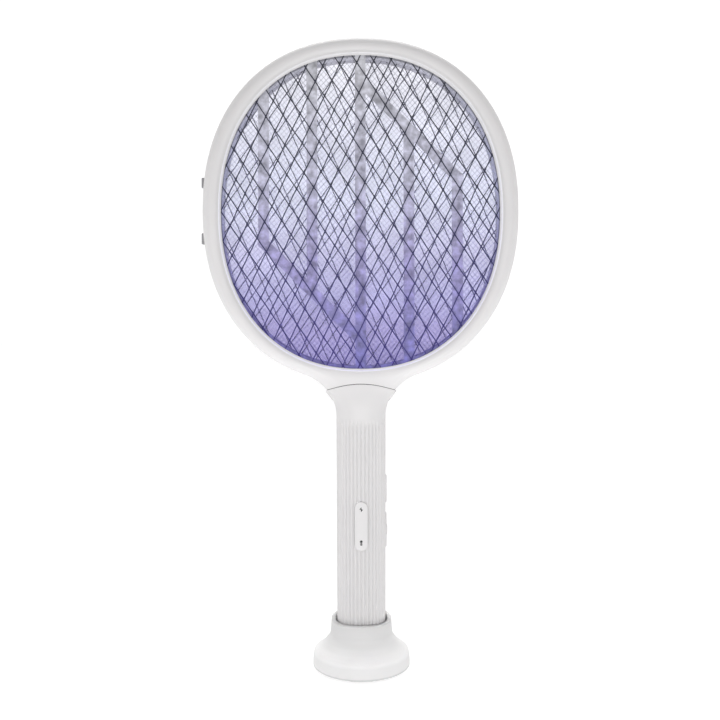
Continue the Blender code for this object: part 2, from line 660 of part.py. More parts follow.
def button_block(half_length, half_width, proud, depth, place, outward):
    """Push button: a round-ended body with a softened face and a wider foot inside the shell."""
    rim = 0.5 * MM
    body = stadium_prism(half_length, half_width, -depth, proud - rim, place, (0, 0, 1), outward)
    top = max(body.faces, key=lambda face: face.calc_center_median().dot(Vector(outward)))
    face = bmesh.ops.extrude_face_region(body, geom=[top])
    crown = [item for item in face["geom"] if isinstance(item, bmesh.types.BMVert)]
    bmesh.ops.delete(body, geom=[top], context="FACES_ONLY")
    middle = Vector(place)
    outward = Vector(outward)
    for vert in crown:
        offset = vert.co - middle
        height = offset.dot(outward)
        flat = offset - outward * height
        straight = max(-(half_length - half_width), min(half_length - half_width, flat.z))
        spine = Vector((0.0, 0.0, straight))
        reach = flat - spine
        shorter = reach * ((half_width - rim) / half_width)
        vert.co = middle + spine + shorter + outward * proud
    return body


def make_front_button():
    place = (0.0, grip_surface_y(BUTTON_Z), BUTTON_Z)
    button = button_block(BUTTON_HALF_LENGTH, BUTTON_HALF_WIDTH, BUTTON_PROUD, BUTTON_DEPTH, place, (0, -1, 0))
    thing = make_object("zap_button", button, "shell_white", at=place)
    recess = None
    for z in ICON_HEIGHTS:
        hole = cylinder(ICON_RADIUS + FIT, (0.0, place[1] - 2.0 * MM, z), (0, 1, 0), 3.0 * MM, 12)
        recess = merge(recess, hole) if recess else hole
    combine(thing, make_cutter("cut_icon_windows", recess))
    for name, z in zip(("bolt_window", "lamp_window"), ICON_HEIGHTS):
        window = cylinder(ICON_RADIUS, (0.0, place[1] - BUTTON_PROUD + 0.1 * MM, z), (0, 1, 0), 1.2 * MM, 12)
        make_object(name, window, "diffuser", at=(0.0, place[1], z))
    pusher_face = place[1] + BUTTON_DEPTH + BUTTON_TRAVEL + SWITCH_GAP
    switch = box((-3.0 * MM, pusher_face, BUTTON_Z - 3.0 * MM),
                 (3.0 * MM, BOARD_Y - BOARD_THICKNESS - FIT, BUTTON_Z + 3.0 * MM), rounding=0.3 * MM, segments=1)
    make_object("zap_tact_switch", switch, "dark_plastic")


def make_side_controls():
    place = (grip_surface_x(SIDE_BUTTON_Z), 0.0, SIDE_BUTTON_Z)
    button = button_block(SIDE_BUTTON_HALF_LENGTH, SIDE_BUTTON_HALF_DEPTH, SIDE_BUTTON_PROUD, SIDE_BUTTON_DEPTH,
                          place, (1, 0, 0))
    make_object("side_button", button, "shell_white", at=place)
    switch_face = place[0] - SIDE_BUTTON_DEPTH - BUTTON_TRAVEL - SWITCH_GAP
    switch = box((switch_face - 3.0 * MM, -2.5 * MM, SIDE_BUTTON_Z - 3.0 * MM),
                 (switch_face, 2.5 * MM, SIDE_BUTTON_Z + 3.0 * MM), rounding=0.3 * MM, segments=1)
    make_object("side_tact_switch", switch, "dark_plastic")

    bezel_x = grip_surface_x(BEZEL_Z)
    bezel = button_block(BEZEL_HALF_LENGTH, BEZEL_HALF_DEPTH, BEZEL_PROUD, BEZEL_DEPTH,
                         (bezel_x, 0.0, BEZEL_Z), (1, 0, 0))
    bezel_thing = make_object("mode_switch_bezel", bezel, "shell_white")
    slot = stadium_prism(KNOB_HALF_LENGTH + KNOB_TRAVEL + 0.6 * MM, KNOB_HALF_DEPTH + FIT, -6.0 * MM, 6.0 * MM,
                         (bezel_x, 0.0, BEZEL_Z), (0, 0, 1), (1, 0, 0))
    combine(bezel_thing, make_cutter("cut_knob_slot", slot))

    knob_root = bezel_x - KNOB_DEPTH
    knob = stadium_prism(KNOB_HALF_LENGTH, KNOB_HALF_DEPTH, -KNOB_DEPTH, KNOB_PROUD, (bezel_x, 0.0, BEZEL_Z),
                         (0, 0, 1), (1, 0, 0))
    knob_thing = make_object("mode_switch_knob", knob, "shell_white", at=(bezel_x, 0.0, BEZEL_Z))
    grooves = None
    for step in (-1, 0, 1):
        z = BEZEL_Z + step * 1.8 * MM
        groove = box((bezel_x + KNOB_PROUD - 0.4 * MM, -4.0 * MM, z - 0.3 * MM),
                     (bezel_x + KNOB_PROUD + 2.0 * MM, 4.0 * MM, z + 0.3 * MM))
        grooves = merge(grooves, groove) if grooves else groove
    combine(knob_thing, make_cutter("cut_knob_grooves", grooves))
    body = box((knob_root - FIT - 4.0 * MM, -3.0 * MM, BEZEL_Z - 8.0 * MM),
               (knob_root - FIT, 3.0 * MM, BEZEL_Z + 8.0 * MM), rounding=0.3 * MM, segments=1)
    make_object("mode_switch_body", body, "steel")


def make_electronics():
    board = box((-BOARD_HALF_WIDTH, BOARD_Y - BOARD_THICKNESS, BOARD_BASE_Z),
                (BOARD_HALF_WIDTH, BOARD_Y, BOARD_TOP_Z))
    make_object("main_board", board, "board_green")
    rear_face = BOARD_Y + FIT
    transformer = box((-6.5 * MM, rear_face, 124.0 * MM), (6.5 * MM, rear_face + 11.0 * MM, 136.5 * MM),
                      rounding=0.8 * MM, segments=1)
    make_object("transformer", transformer, "coil_yellow")
    chip = box((-3.5 * MM, rear_face, 100.0 * MM), (3.5 * MM, rear_face + 1.3 * MM, 107.0 * MM))
    make_object("controller_chip", chip, "chip_black")
    capacitor = turned([(4.0 * MM, 0.0), (4.6 * MM, 0.6 * MM), (4.6 * MM, 12.0 * MM), (4.0 * MM, 12.6 * MM)],
                       (2.0 * MM, rear_face + 5.0 * MM, 148.0 * MM), (0, 0, 1), 16)
    make_object("high_voltage_capacitor", capacitor, "coil_yellow")
    for index in range(3):
        diode = cylinder(1.3 * MM, (-7.0 * MM, rear_face + 1.6 * MM, (140.0 + 8.0 * index) * MM), (0, 0, 1),
                         5.0 * MM, 10)
        make_object(f"rectifier_diode_{index + 1}", diode, "chip_black")
    socket = stadium_prism(SOCKET_HALF_WIDTH, SOCKET_HALF_HEIGHT, HANDLE_HALF_DEPTH - 8.0 * MM,
                           HANDLE_HALF_DEPTH - SOCKET_RECESS, (0.0, 0.0, SOCKET_Z), (1, 0, 0), (0, 1, 0))
    socket_thing = make_object("charge_socket", socket, "steel")
    mouth = stadium_prism(SOCKET_HALF_WIDTH - 0.4 * MM, SOCKET_HALF_HEIGHT - 0.4 * MM, HANDLE_HALF_DEPTH - 6.5 * MM,
                          HANDLE_HALF_DEPTH + 2.0 * MM, (0.0, 0.0, SOCKET_Z), (1, 0, 0), (0, 1, 0))
    combine(socket_thing, make_cutter("cut_socket_mouth", mouth))
    charge_board = box((-7.0 * MM, HANDLE_HALF_DEPTH - 12.5 * MM, SOCKET_Z - SOCKET_HALF_HEIGHT - 1.3 * MM),
                       (7.0 * MM, HANDLE_HALF_DEPTH - 3.5 * MM, SOCKET_Z - SOCKET_HALF_HEIGHT - FIT))
    make_object("charge_board", charge_board, "board_green")


def make_battery():
    cell = turned([(BATTERY_RADIUS - 0.6 * MM, 0.0), (BATTERY_RADIUS, 0.6 * MM),
                   (BATTERY_RADIUS, BATTERY_LENGTH - 1.4 * MM), (BATTERY_RADIUS - 0.6 * MM, BATTERY_LENGTH - 0.8 * MM),
                   (3.0 * MM, BATTERY_LENGTH - 0.8 * MM), (3.0 * MM, BATTERY_LENGTH)],
                  (0.0, BATTERY_Y, BATTERY_BASE_Z), (0, 0, 1), 16)
    make_object("battery_cell", cell, "cell_wrap")
    cradle_low = (-10.6 * MM, -7.2 * MM, BATTERY_BASE_Z + 4.0 * MM)
    cradle_high = (10.6 * MM, BATTERY_Y, BATTERY_BASE_Z + BATTERY_LENGTH - 20.0 * MM)
    cradle = make_object("battery_cradle", box(cradle_low, cradle_high), "dark_plastic")
    combine(cradle, make_cutter("cut_cradle", cylinder(BATTERY_RADIUS + FIT, (0.0, BATTERY_Y, 0.0), (0, 0, 1),
                                                       120.0 * MM, 24)))
    contact_top = BATTERY_BASE_Z + BATTERY_LENGTH + FIT
    for name, low, size in (("battery_contact_plus", contact_top, 0.5 * MM),
                            ("battery_contact_minus", BATTERY_BASE_Z - FIT - 0.5 * MM, 0.5 * MM)):
        contact = box((-4.0 * MM, BATTERY_Y - 4.0 * MM, low), (4.0 * MM, BATTERY_Y + 4.0 * MM, low + size))
        make_object(name, contact, "steel")


def make_leads():
    """Two insulated leads from the board up through the neck to the nets."""
    for name, side, material in (("lead_positive", -1, "lead_red"), ("lead_negative", 1, "lead_black")):
        curve = bpy.data.curves.new(name, "CURVE")
        curve.dimensions = "3D"
        curve.bevel_depth = LEAD_RADIUS
        curve.bevel_resolution = 1
        curve.use_fill_caps = True
        x = side * LEAD_X
        start = Vector((x, BOARD_Y + 2.0 * MM, 163.0 * MM))
        end = Vector((x, -1.6 * MM, neck_top_z() - 0.4 * MM))
        spline = curve.splines.new("POLY")
        steps = 10
        spline.points.add(steps)
        bend_end = HOLLOW_TOP_Z - 4.0 * MM      # straight from here on, through the wire way
        for index in range(steps + 1):
            z = start.z + (end.z - start.z) * index / steps
            t = min(1.0, (z - start.z) / (bend_end - start.z))
            ease = t * t * (3 - 2 * t)
            spline.points[index].co = (x, start.y + (end.y - start.y) * ease, z, 1.0)
        lead = bpy.data.objects.new(name, curve)
        bpy.context.scene.collection.objects.link(lead)
        curve.materials.append(make_material(material))


# ---- stand ----
def make_stand():
    grip_x, grip_y, power, _ = grip_level(COLLAR_TOP_Z)
    inner_x = grip_x + COLLAR_CLEARANCE
    inner_y = grip_y + COLLAR_CLEARANCE
    outer_x = inner_x + COLLAR_WALL
    outer_y = inner_y + COLLAR_WALL
    plate_radius = FOOT_RADIUS - SHELL_WALL - FIT
    waist = outer_x + 1.0 * MM
    under_floor = POCKET_FLOOR_Z - 1.8 * MM
    pocket_x = inner_x - 0.3 * MM
    pocket_y = inner_y - 0.3 * MM
    flare = FOOT_RADIUS - waist
    levels = [
        (pocket_x - 1.5 * MM, pocket_y - 1.5 * MM, power, POCKET_FLOOR_Z),
        (pocket_x, pocket_y, power, POCKET_FLOOR_Z + 1.2 * MM),
        (inner_x, inner_y, power, COLLAR_TOP_Z - 1.0 * MM),
        (inner_x + 0.5 * MM, inner_y + 0.5 * MM, power, COLLAR_TOP_Z - 0.2 * MM),
        (inner_x + 1.2 * MM, inner_y + 1.2 * MM, power, COLLAR_TOP_Z),
        (outer_x - 0.5 * MM, outer_y - 0.5 * MM, power, COLLAR_TOP_Z - 0.4 * MM),
        (outer_x, outer_y, power, COLLAR_TOP_Z - 1.5 * MM),
        (outer_x + 0.5 * MM, outer_y + 0.5 * MM, power - 0.1, 26.0 * MM),
        (waist, waist, power - 0.3, 21.8 * MM),
        (waist + 0.13 * flare, waist + 0.13 * flare, 2.2, 19.2 * MM),
        (waist + 0.32 * flare, waist + 0.32 * flare, 2.1, 16.8 * MM),
        (waist + 0.50 * flare, waist + 0.50 * flare, 2.0, 14.8 * MM),
        (waist + 0.73 * flare, waist + 0.73 * flare, 2.0, 12.9 * MM),
        (waist + 0.91 * flare, waist + 0.91 * flare, 2.0, 11.2 * MM),
        (FOOT_RADIUS - 0.4 * MM, FOOT_RADIUS - 0.4 * MM, 2.0, 8.8 * MM),
        (FOOT_RADIUS, FOOT_RADIUS, 2.0, 5.0 * MM),
        (FOOT_RADIUS, FOOT_RADIUS, 2.0, FOOT_EDGE_Z + 0.4 * MM),
        (FOOT_RADIUS - 0.4 * MM, FOOT_RADIUS - 0.4 * MM, 2.0, FOOT_EDGE_Z),
        (plate_radius + FIT, plate_radius + FIT, 2.0, FOOT_EDGE_Z),
        (plate_radius + FIT, plate_radius + FIT, 2.0, 8.0 * MM),
        (waist + 0.70 * flare, waist + 0.70 * flare, 2.0, 10.6 * MM),
        (waist + 0.36 * flare, waist + 0.36 * flare, 2.0, 13.4 * MM),
        (waist + 0.06 * flare, waist + 0.06 * flare, 2.1, 16.6 * MM),
        (waist - 1.2 * MM, waist - 1.2 * MM, 2.3, 17.8 * MM),
        (pocket_x + SHELL_WALL, pocket_y + SHELL_WALL, power, 18.0 * MM),
        (pocket_x + SHELL_WALL - 0.4 * MM, pocket_y + SHELL_WALL - 0.4 * MM, power, under_floor),
    ]
    shell = loft([level_loop(x, y, n, z, 32) for x, y, n, z in levels])
    make_object("stand_shell", shell, "stand_white")

    pad_top = 0.9 * MM
    pad = loft_ring(FOOT_RADIUS - 12.0 * MM, FOOT_RADIUS - 3.2 * MM, 0.0, pad_top, 28)
    make_object("foot_pad", pad, "rubber")
    plate = make_object("stand_base_plate", turned([(plate_radius, 0.0), (plate_radius, 1.6 * MM)],
                                                   (0.0, 0.0, pad_top + FIT), (0, 0, 1), 40), "stand_white")
    holes = None
    for x, y in foot_screw_places():
        hole = turned([(SCREW_HEAD_RADIUS + FIT, 0.0), (SCREW_HEAD_RADIUS + FIT, 1.9 * MM),
                       (SCREW_RADIUS + FIT, 1.9 * MM), (SCREW_RADIUS + FIT, 5.0 * MM)],
                      (x, y, 0.0), (0, 0, 1), 12)
        holes = merge(holes, hole) if holes else hole
    combine(plate, make_cutter("cut_foot_screws", holes))
    for index, (x, y) in enumerate(foot_screw_places(), start=1):
        screw = turned([(SCREW_HEAD_RADIUS, 0.0), (SCREW_HEAD_RADIUS, 0.9 * MM), (SCREW_RADIUS, 0.9 * MM),
                        (SCREW_RADIUS, 3.1 * MM)], (x, y, 0.7 * MM), (0, 0, 1), 12)
        make_object(f"stand_screw_{index}", screw, "steel")
    corner_reach = 2 ** (0.5 - 1 / power)       # how far the squarish pocket's corners stand out of a circle
    weight_inner = (pocket_x + SHELL_WALL) * corner_reach + FIT
    weight = loft_ring(weight_inner, plate_radius - 1.2 * MM, pad_top + 2 * FIT + 1.6 * MM, 5.2 * MM, 28)
    make_object("stand_weight", weight, "steel")


def loft_ring(inner, outer, low, high, segments):
    """Flat washer about the Z axis."""
    return loft([[(radius * math.cos(2 * math.pi * k / segments), radius * math.sin(2 * math.pi * k / segments), z)
                  for radius, z in ((outer, low), (outer, high), (inner, high), (inner, low))]
                 for k in range(segments)], closed=True)


def foot_screw_places():
    places = []
    for index in range(FOOT_SCREW_COUNT):
        angle = math.pi / 2 + 2 * math.pi * index / FOOT_SCREW_COUNT
        places.append((FOOT_SCREW_CIRCLE * math.cos(angle), FOOT_SCREW_CIRCLE * math.sin(angle)))
    return places


def main():
    clear_scene()
    make_stand()
    make_handle()
    make_end_cap()
    make_front_button()
    make_side_controls()
    make_electronics()
    make_battery()
    make_leads()
    make_frames()
    make_frame_screws()
    make_latches()
    make_nets()
    make_lattice()
    make_spacers()
    make_light()


main()
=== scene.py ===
import math
import bpy
import bmesh
import numpy as np
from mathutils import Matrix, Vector


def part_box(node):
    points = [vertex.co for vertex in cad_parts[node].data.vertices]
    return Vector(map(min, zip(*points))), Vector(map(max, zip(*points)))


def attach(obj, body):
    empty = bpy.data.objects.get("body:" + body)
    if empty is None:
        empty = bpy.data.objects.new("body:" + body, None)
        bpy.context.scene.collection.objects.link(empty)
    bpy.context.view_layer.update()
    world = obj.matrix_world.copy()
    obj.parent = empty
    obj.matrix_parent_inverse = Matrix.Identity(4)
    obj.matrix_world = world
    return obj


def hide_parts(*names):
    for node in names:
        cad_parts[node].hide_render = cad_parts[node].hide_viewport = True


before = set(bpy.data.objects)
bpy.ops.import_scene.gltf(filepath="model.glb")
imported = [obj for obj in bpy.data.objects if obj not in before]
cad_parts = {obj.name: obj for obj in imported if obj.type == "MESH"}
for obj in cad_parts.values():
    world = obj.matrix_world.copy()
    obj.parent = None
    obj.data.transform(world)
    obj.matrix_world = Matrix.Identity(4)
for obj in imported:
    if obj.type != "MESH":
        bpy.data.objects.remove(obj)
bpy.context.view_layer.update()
mm = 0.001


# places read from the frame
def middle(node):
    low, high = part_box(node)
    return (Vector(low) + Vector(high)) / 2


netLow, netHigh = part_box("front_guard_net")
headLow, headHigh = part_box("head_front_frame")
gripLow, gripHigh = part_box("handle_front_shell")
standLow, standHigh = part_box("stand_shell")

head = {
    "centreZ": (netLow[2] + netHigh[2]) / 2,
    "halfWidth": headHigh[0],
    "halfHeight": headHigh[2] - (netLow[2] + netHigh[2]) / 2,
    "power": 2.2,               # a little squarer than an ellipse
    "face": 13.2 * mm,          # width of the frame round the nets
    "depth": -headLow[1],
    "roll": 6.9 * mm,           # how far the outer edge is rounded
    "rollPower": 2.35,
    "lipDrop": 2.6 * mm,        # how far the inner lip lies behind the crown
    "lipReach": 6.5 * mm,
    "openingDrop": 1.5 * mm,    # the opening sits a little low in the frame
    "openingExtra": 2.0 * mm,   # and is a little taller than the frame's face alone would leave
    "wall": 0.9 * mm,
    "edge": 0.3 * mm,           # least half thickness at the outer edge
}
grip = {
    "baseZ": gripLow[2],
    "halfWidth": 17.3 * mm,
    "halfDepth": 17.0 * mm,
    "taper": 0.5 * mm,
    "power": 2.6,
    "neckZ": 175.0 * mm,        # the neck opens out above this
    "spread": 39.8 * mm,
    "seamRadius": 63.0 * mm,
    "seamTop": 197.7 * mm,
    "seamGap": 0.5 * mm,
    "wall": 1.5 * mm,
}


def sgnPow(value, power):
    return np.sign(value) * np.abs(value) ** power


def ringOutline(angle, inset=0.0):
    across = head["halfWidth"] - inset
    upward = head["halfHeight"] - inset * (head["face"] - 1.0 * mm) / head["face"]
    return (across * sgnPow(np.cos(angle), 2 / head["power"]),
            head["centreZ"] + upward * sgnPow(np.sin(angle), 2 / head["power"]))


def neckCurve(steps=60):
    # right-hand side of the neck, from the head down to the straight grip
    joinAngle = -math.acos((grip["spread"] / head["halfWidth"]) ** (head["power"] / 2))
    endX, endZ = ringOutline(np.array(joinAngle))
    upright = 0.45 * (endZ - grip["neckZ"])
    corners = np.array([(endX, endZ), (endX - 12.0 * mm, endZ - 4.1 * mm),
                        (grip["halfWidth"], grip["neckZ"] + upright), (grip["halfWidth"], grip["neckZ"])])
    t = np.linspace(0, 1, steps)[:, None]
    curve = ((1 - t) ** 3 * corners[0] + 3 * t * (1 - t) ** 2 * corners[1]
             + 3 * t * t * (1 - t) * corners[2] + t ** 3 * corners[3])
    return joinAngle, curve


joinAngle, neckSide = neckCurve()


def gripWidth(z):
    share = np.clip((grip["neckZ"] - z) / grip["neckZ"], 0, 1)
    straight = grip["halfWidth"] - grip["taper"] * share
    flare = np.interp(z, neckSide[::-1, 1], neckSide[::-1, 0])
    return np.where(z > grip["neckZ"], flare, straight)


def silhouettePoints():
    # right-hand outline of the racket seen from the front, top to bottom
    angles = np.linspace(math.pi / 2, joinAngle, 400)
    x, z = ringOutline(angles)
    below = np.linspace(grip["neckZ"], -20.0 * mm, 120)
    return np.concatenate([np.stack([x, z], 1), neckSide[1:-1], np.stack([gripWidth(below), below], 1)])


edgePoints = silhouettePoints()


def edgeDistance(x, z):
    # distance to the nearest stretch of the outline, taken on the right-hand side
    spots = np.stack([np.abs(x.ravel()), z.ravel()], 1)
    start = edgePoints[:-1]
    run = edgePoints[1:] - start
    length = (run ** 2).sum(1)
    result = np.empty(len(spots))
    for first in range(0, len(spots), 2000):
        block = spots[first:first + 2000, None, :] - start[None]
        share = np.clip((block * run).sum(2) / length, 0, 1)
        gap = block - share[..., None] * run
        result[first:first + 2000] = np.sqrt((gap ** 2).sum(2)).min(1)
    return result.reshape(x.shape)


openingZ = head["centreZ"] - head["openingDrop"]


def openingSize():
    return head["halfWidth"] - head["face"], head["halfHeight"] - head["face"] + head["openingExtra"]


def smooth(low, high, value):
    t = np.clip((value - low) / (high - low), 0, 1)
    return t * t * (3 - 2 * t)


def shellDepth(x, z):
    # half thickness of the racket body at a point of its front view
    dOut = edgeDistance(x, z)
    neck = 1 - smooth(grip["neckZ"] + 3 * mm, grip["seamTop"] + 9 * mm, z)
    share = np.clip((grip["neckZ"] - z) / grip["neckZ"], 0, 1)
    crown = head["depth"] + (grip["halfDepth"] - grip["taper"] * share - head["depth"]) * neck
    reach = head["roll"] + (gripWidth(z) - head["roll"]) * neck
    power = head["rollPower"] + (grip["power"] - head["rollPower"]) * neck
    roll = (1 - (1 - np.clip(dOut / reach, 0, 1)) ** power) ** (1 / power)
    across, upward = openingSize()
    dx, dz = x, z - openingZ
    level = (np.abs(dx) / across) ** head["power"] + (np.abs(dz) / upward) ** head["power"]
    level = level ** (1 / head["power"])
    dIn = np.maximum(level - 1, 0) * np.hypot(dx, dz) / np.maximum(level, 1e-6)
    lip = head["lipDrop"] * np.clip(1 - dIn / head["lipReach"], 0, 1) ** 2.3
    return crown * roll - lip


# mesh helpers
def sheetMesh(name, points, closeRows=False):
    # points is an array (rows, columns, 3); faces join neighbours
    rows, columns = points.shape[:2]
    vertices = points.reshape(-1, 3)
    faces = []
    for r in range(rows - 1):
        for c in range(columns if closeRows else columns - 1):
            d = (c + 1) % columns
            faces.append((r * columns + c, r * columns + d, (r + 1) * columns + d, (r + 1) * columns + c))
    mesh = bpy.data.meshes.new(name)
    mesh.from_pydata(vertices.tolist(), [], faces)
    mesh.validate()
    return mesh


def addObject(name, mesh, body=None, material=None):
    thing = bpy.data.objects.new(name, mesh)
    bpy.context.scene.collection.objects.link(thing)
    if material:
        mesh.materials.clear()
        mesh.materials.append(material)
    if body:
        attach(thing, body)
    return thing


def bake(thing):
    # turns the evaluated object into a plain mesh
    graph = bpy.context.evaluated_depsgraph_get()
    graph.update()
    mesh = bpy.data.meshes.new_from_object(thing.evaluated_get(graph), depsgraph=graph)
    thing.modifiers.clear()
    old = thing.data
    thing.data = mesh
    bpy.data.meshes.remove(old)
    return thing


def shadeSmooth(thing, angle=35):
    thing.data.shade_smooth()
    thing.data.set_sharp_from_angle(angle=math.radians(angle))


def dropObject(thing):
    bpy.data.objects.remove(thing, do_unlink=True)


def capsuleOutline(halfLength, halfWidth, count=14):
    # round-ended outline in (across, along)
    points = []
    straight = halfLength - halfWidth
    for end, turn in ((1, 0.0), (-1, math.pi)):
        for k in range(count + 1):
            angle = turn + math.pi * k / count
            points.append((halfWidth * math.cos(angle), end * straight + halfWidth * math.sin(angle)))
    return points


def capsuleSolid(name, halfLength, halfWidth, levels, place, across, along, facing):
    # levels are (inset, height along facing) from the bottom up
    across, along, facing, place = Vector(across), Vector(along), Vector(facing), Vector(place)
    bm = bmesh.new()
    rows = []
    for inset, height in levels:
        outline = capsuleOutline(halfLength - inset, halfWidth - inset)
        rows.append([bm.verts.new(place + across * a + along * b + facing * height) for a, b in outline])
    for lower, upper in zip(rows, rows[1:]):
        for k in range(len(lower)):
            m = (k + 1) % len(lower)
            bm.faces.new((lower[k], lower[m], upper[m], upper[k]))
    bm.faces.new(rows[0])
    bm.faces.new(rows[-1])
    bmesh.ops.recalc_face_normals(bm, faces=bm.faces)
    mesh = bpy.data.meshes.new(name)
    bm.to_mesh(mesh)
    bm.free()
    return mesh


def cut(thing, meshes):
    for index, mesh in enumerate(meshes):
        cutter = addObject(f"cutter_{index}", mesh)
        modifier = thing.modifiers.new("cut", "BOOLEAN")
        modifier.operation = "DIFFERENCE"
        modifier.solver = "MANIFOLD"
        modifier.object = cutter
        bake(thing)
        dropObject(cutter)


# materials
def nodeBuilder(tree):
    def add(kind, sockets=None, **settings):
        node = tree.nodes.new(kind)
        for key, value in settings.items():
            setattr(node, key, value)
        for key, value in (sockets or {}).items():
            if isinstance(value, bpy.types.NodeSocket):
                tree.links.new(value, node.inputs[key])
            else:
                node.inputs[key].default_value = value
        return node
    return add


def remap(add, value, source, target=(0.0, 1.0), **settings):
    # value moved from one range to another
    return add("ShaderNodeMapRange", {"Value": value, "From Min": source[0], "From Max": source[1],
                                      "To Min": target[0], "To Max": target[1]}, **settings)


def cloud(add, place, scale, detail, roughness=0.5):
    return add("ShaderNodeTexNoise", {"Vector": place, "Scale": scale, "Detail": detail,
                                      "Roughness": roughness})


def product(add, colour, factor):
    return add("ShaderNodeMix", {"Factor": 1.0, "A": colour, "B": factor},
               data_type="RGBA", blend_type="MULTIPLY")


def newMaterial(name):
    material = bpy.data.materials.new(name)
    material.use_nodes = True
    tree = material.node_tree
    tree.nodes.clear()
    add = nodeBuilder(tree)
    out = add("ShaderNodeOutputMaterial")
    shader = add("ShaderNodeBsdfPrincipled")
    tree.links.new(shader.outputs["BSDF"], out.inputs["Surface"])
    place = add("ShaderNodeTexCoord").outputs["Object"]
    return material, tree, add, shader, place


def plastic(name, colour, roughness=0.42, grain=1500.0, relief=0.012 * mm, tint=0.03, coat=0.0,
            subsurface=0.0):
    # moulded plastic: faint flow marks, fine grain, handling smudges in the roughness
    material, tree, add, shader, place = newMaterial(name)
    flow = cloud(add, place, 14.0, 3.0, 0.55)
    dust = cloud(add, place, 420.0, 4.0, 0.7)
    ramp = add("ShaderNodeValToRGB", {"Fac": flow.outputs["Fac"]})
    ramp.color_ramp.elements[0].position = 0.3
    ramp.color_ramp.elements[0].color = (*[c * (1 - tint) for c in colour], 1)
    ramp.color_ramp.elements[1].position = 0.7
    ramp.color_ramp.elements[1].color = (*[min(1, c * (1 + tint * 0.6)) for c in colour], 1)
    specks = remap(add, dust.outputs["Fac"], (0.70, 0.80), (0.0, 0.10))
    shade = add("ShaderNodeMix", {"Factor": specks.outputs["Result"], "A": ramp.outputs["Color"],
                                  "B": (*[c * 0.6 for c in colour], 1)}, data_type="RGBA")
    tree.links.new(shade.outputs["Result"], shader.inputs["Base Color"])
    smudge = add("ShaderNodeTexNoise", {"Vector": place, "Scale": 55.0, "Detail": 5.0, "Roughness": 0.6,
                                        "Distortion": 0.6})
    rough = remap(add, smudge.outputs["Fac"], (0.3, 0.7), (roughness - 0.06, roughness + 0.08))
    tree.links.new(rough.outputs["Result"], shader.inputs["Roughness"])
    fine = cloud(add, place, grain, 2.0, 0.6)
    bump = add("ShaderNodeBump", {"Height": fine.outputs["Fac"], "Strength": 0.35, "Distance": relief})
    tree.links.new(bump.outputs["Normal"], shader.inputs["Normal"])
    shader.inputs["Coat Weight"].default_value = coat
    shader.inputs["Specular IOR Level"].default_value = 0.45
    if subsurface:
        shader.inputs["Subsurface Weight"].default_value = subsurface
        shader.inputs["Subsurface Radius"].default_value = (1.0, 0.9, 0.8)
        shader.inputs["Subsurface Scale"].default_value = 1.2 * mm
    return material


def metal(name, colour, roughness=0.35, metallic=1.0, brush=900.0):
    # plain metal with fine turning marks and a little tarnish
    material, tree, add, shader, place = newMaterial(name)
    tarnish = cloud(add, place, 120.0, 4.0)
    ramp = add("ShaderNodeValToRGB", {"Fac": tarnish.outputs["Fac"]})
    ramp.color_ramp.elements[0].color = (*[c * 0.78 for c in colour], 1)
    ramp.color_ramp.elements[1].color = (*colour, 1)
    tree.links.new(ramp.outputs["Color"], shader.inputs["Base Color"])
    marks = cloud(add, place, brush, 2.0)
    rough = remap(add, marks.outputs["Fac"], (0.0, 1.0), (roughness - 0.1, roughness + 0.12))
    tree.links.new(rough.outputs["Result"], shader.inputs["Roughness"])
    bump = add("ShaderNodeBump", {"Height": marks.outputs["Fac"], "Strength": 0.3, "Distance": 0.01 * mm})
    tree.links.new(bump.outputs["Normal"], shader.inputs["Normal"])
    shader.inputs["Metallic"].default_value = metallic
    return material


def heightRamp(add, place, stops):
    # colour by height on the head; stops are (height, colour)
    split = add("ShaderNodeSeparateXYZ", {"Vector": place})
    low, high = stops[0][0], stops[-1][0]
    share = remap(add, split.outputs["Z"], (low, high))
    ramp = add("ShaderNodeValToRGB", {"Fac": share.outputs["Result"]})
    elements = ramp.color_ramp.elements
    elements[0].color = (*stops[0][1], 1)
    elements[1].color = (*stops[-1][1], 1)
    for height, colour in stops[1:-1]:
        element = elements.new((height - low) / (high - low))
        element.color = (*colour, 1)
    return ramp.outputs["Color"]


def paintedLampLightMaterial(name, stops, glow, roughness, metallic=0.0, grain=600.0, relief=0.03 * mm, mottling=0.25):
    # surface inside the head with painted lamp light: the violet of the lamps below it is painted into its
    # colour by height, and its emission is a painted glow
    # stops are (share of the nets' height, colour)
    material, tree, add, shader, place = newMaterial(name)
    colour = heightRamp(add, place, [(atShare(share), tone) for share, tone in stops])
    noise = cloud(add, place, grain, 3.0)
    darker = remap(add, noise.outputs["Fac"], (0.3, 0.7), (1 - mottling, 1.0))
    shade = product(add, colour, darker.outputs["Result"])
    tree.links.new(shade.outputs["Result"], shader.inputs["Base Color"])
    tree.links.new(shade.outputs["Result"], shader.inputs["Emission Color"])
    shader.inputs["Emission Strength"].default_value = glow
    rough = remap(add, noise.outputs["Fac"], (0.0, 1.0), (roughness - 0.1, roughness + 0.1))
    tree.links.new(rough.outputs["Result"], shader.inputs["Roughness"])
    bump = add("ShaderNodeBump", {"Height": noise.outputs["Fac"], "Strength": 0.4, "Distance": relief})
    tree.links.new(bump.outputs["Normal"], shader.inputs["Normal"])
    shader.inputs["Metallic"].default_value = metallic
    return material


bottomZ = netLow[2] + 2 * mm
topZ = netHigh[2] - 2 * mm


def atShare(share):
    return bottomZ + (topZ - bottomZ) * share


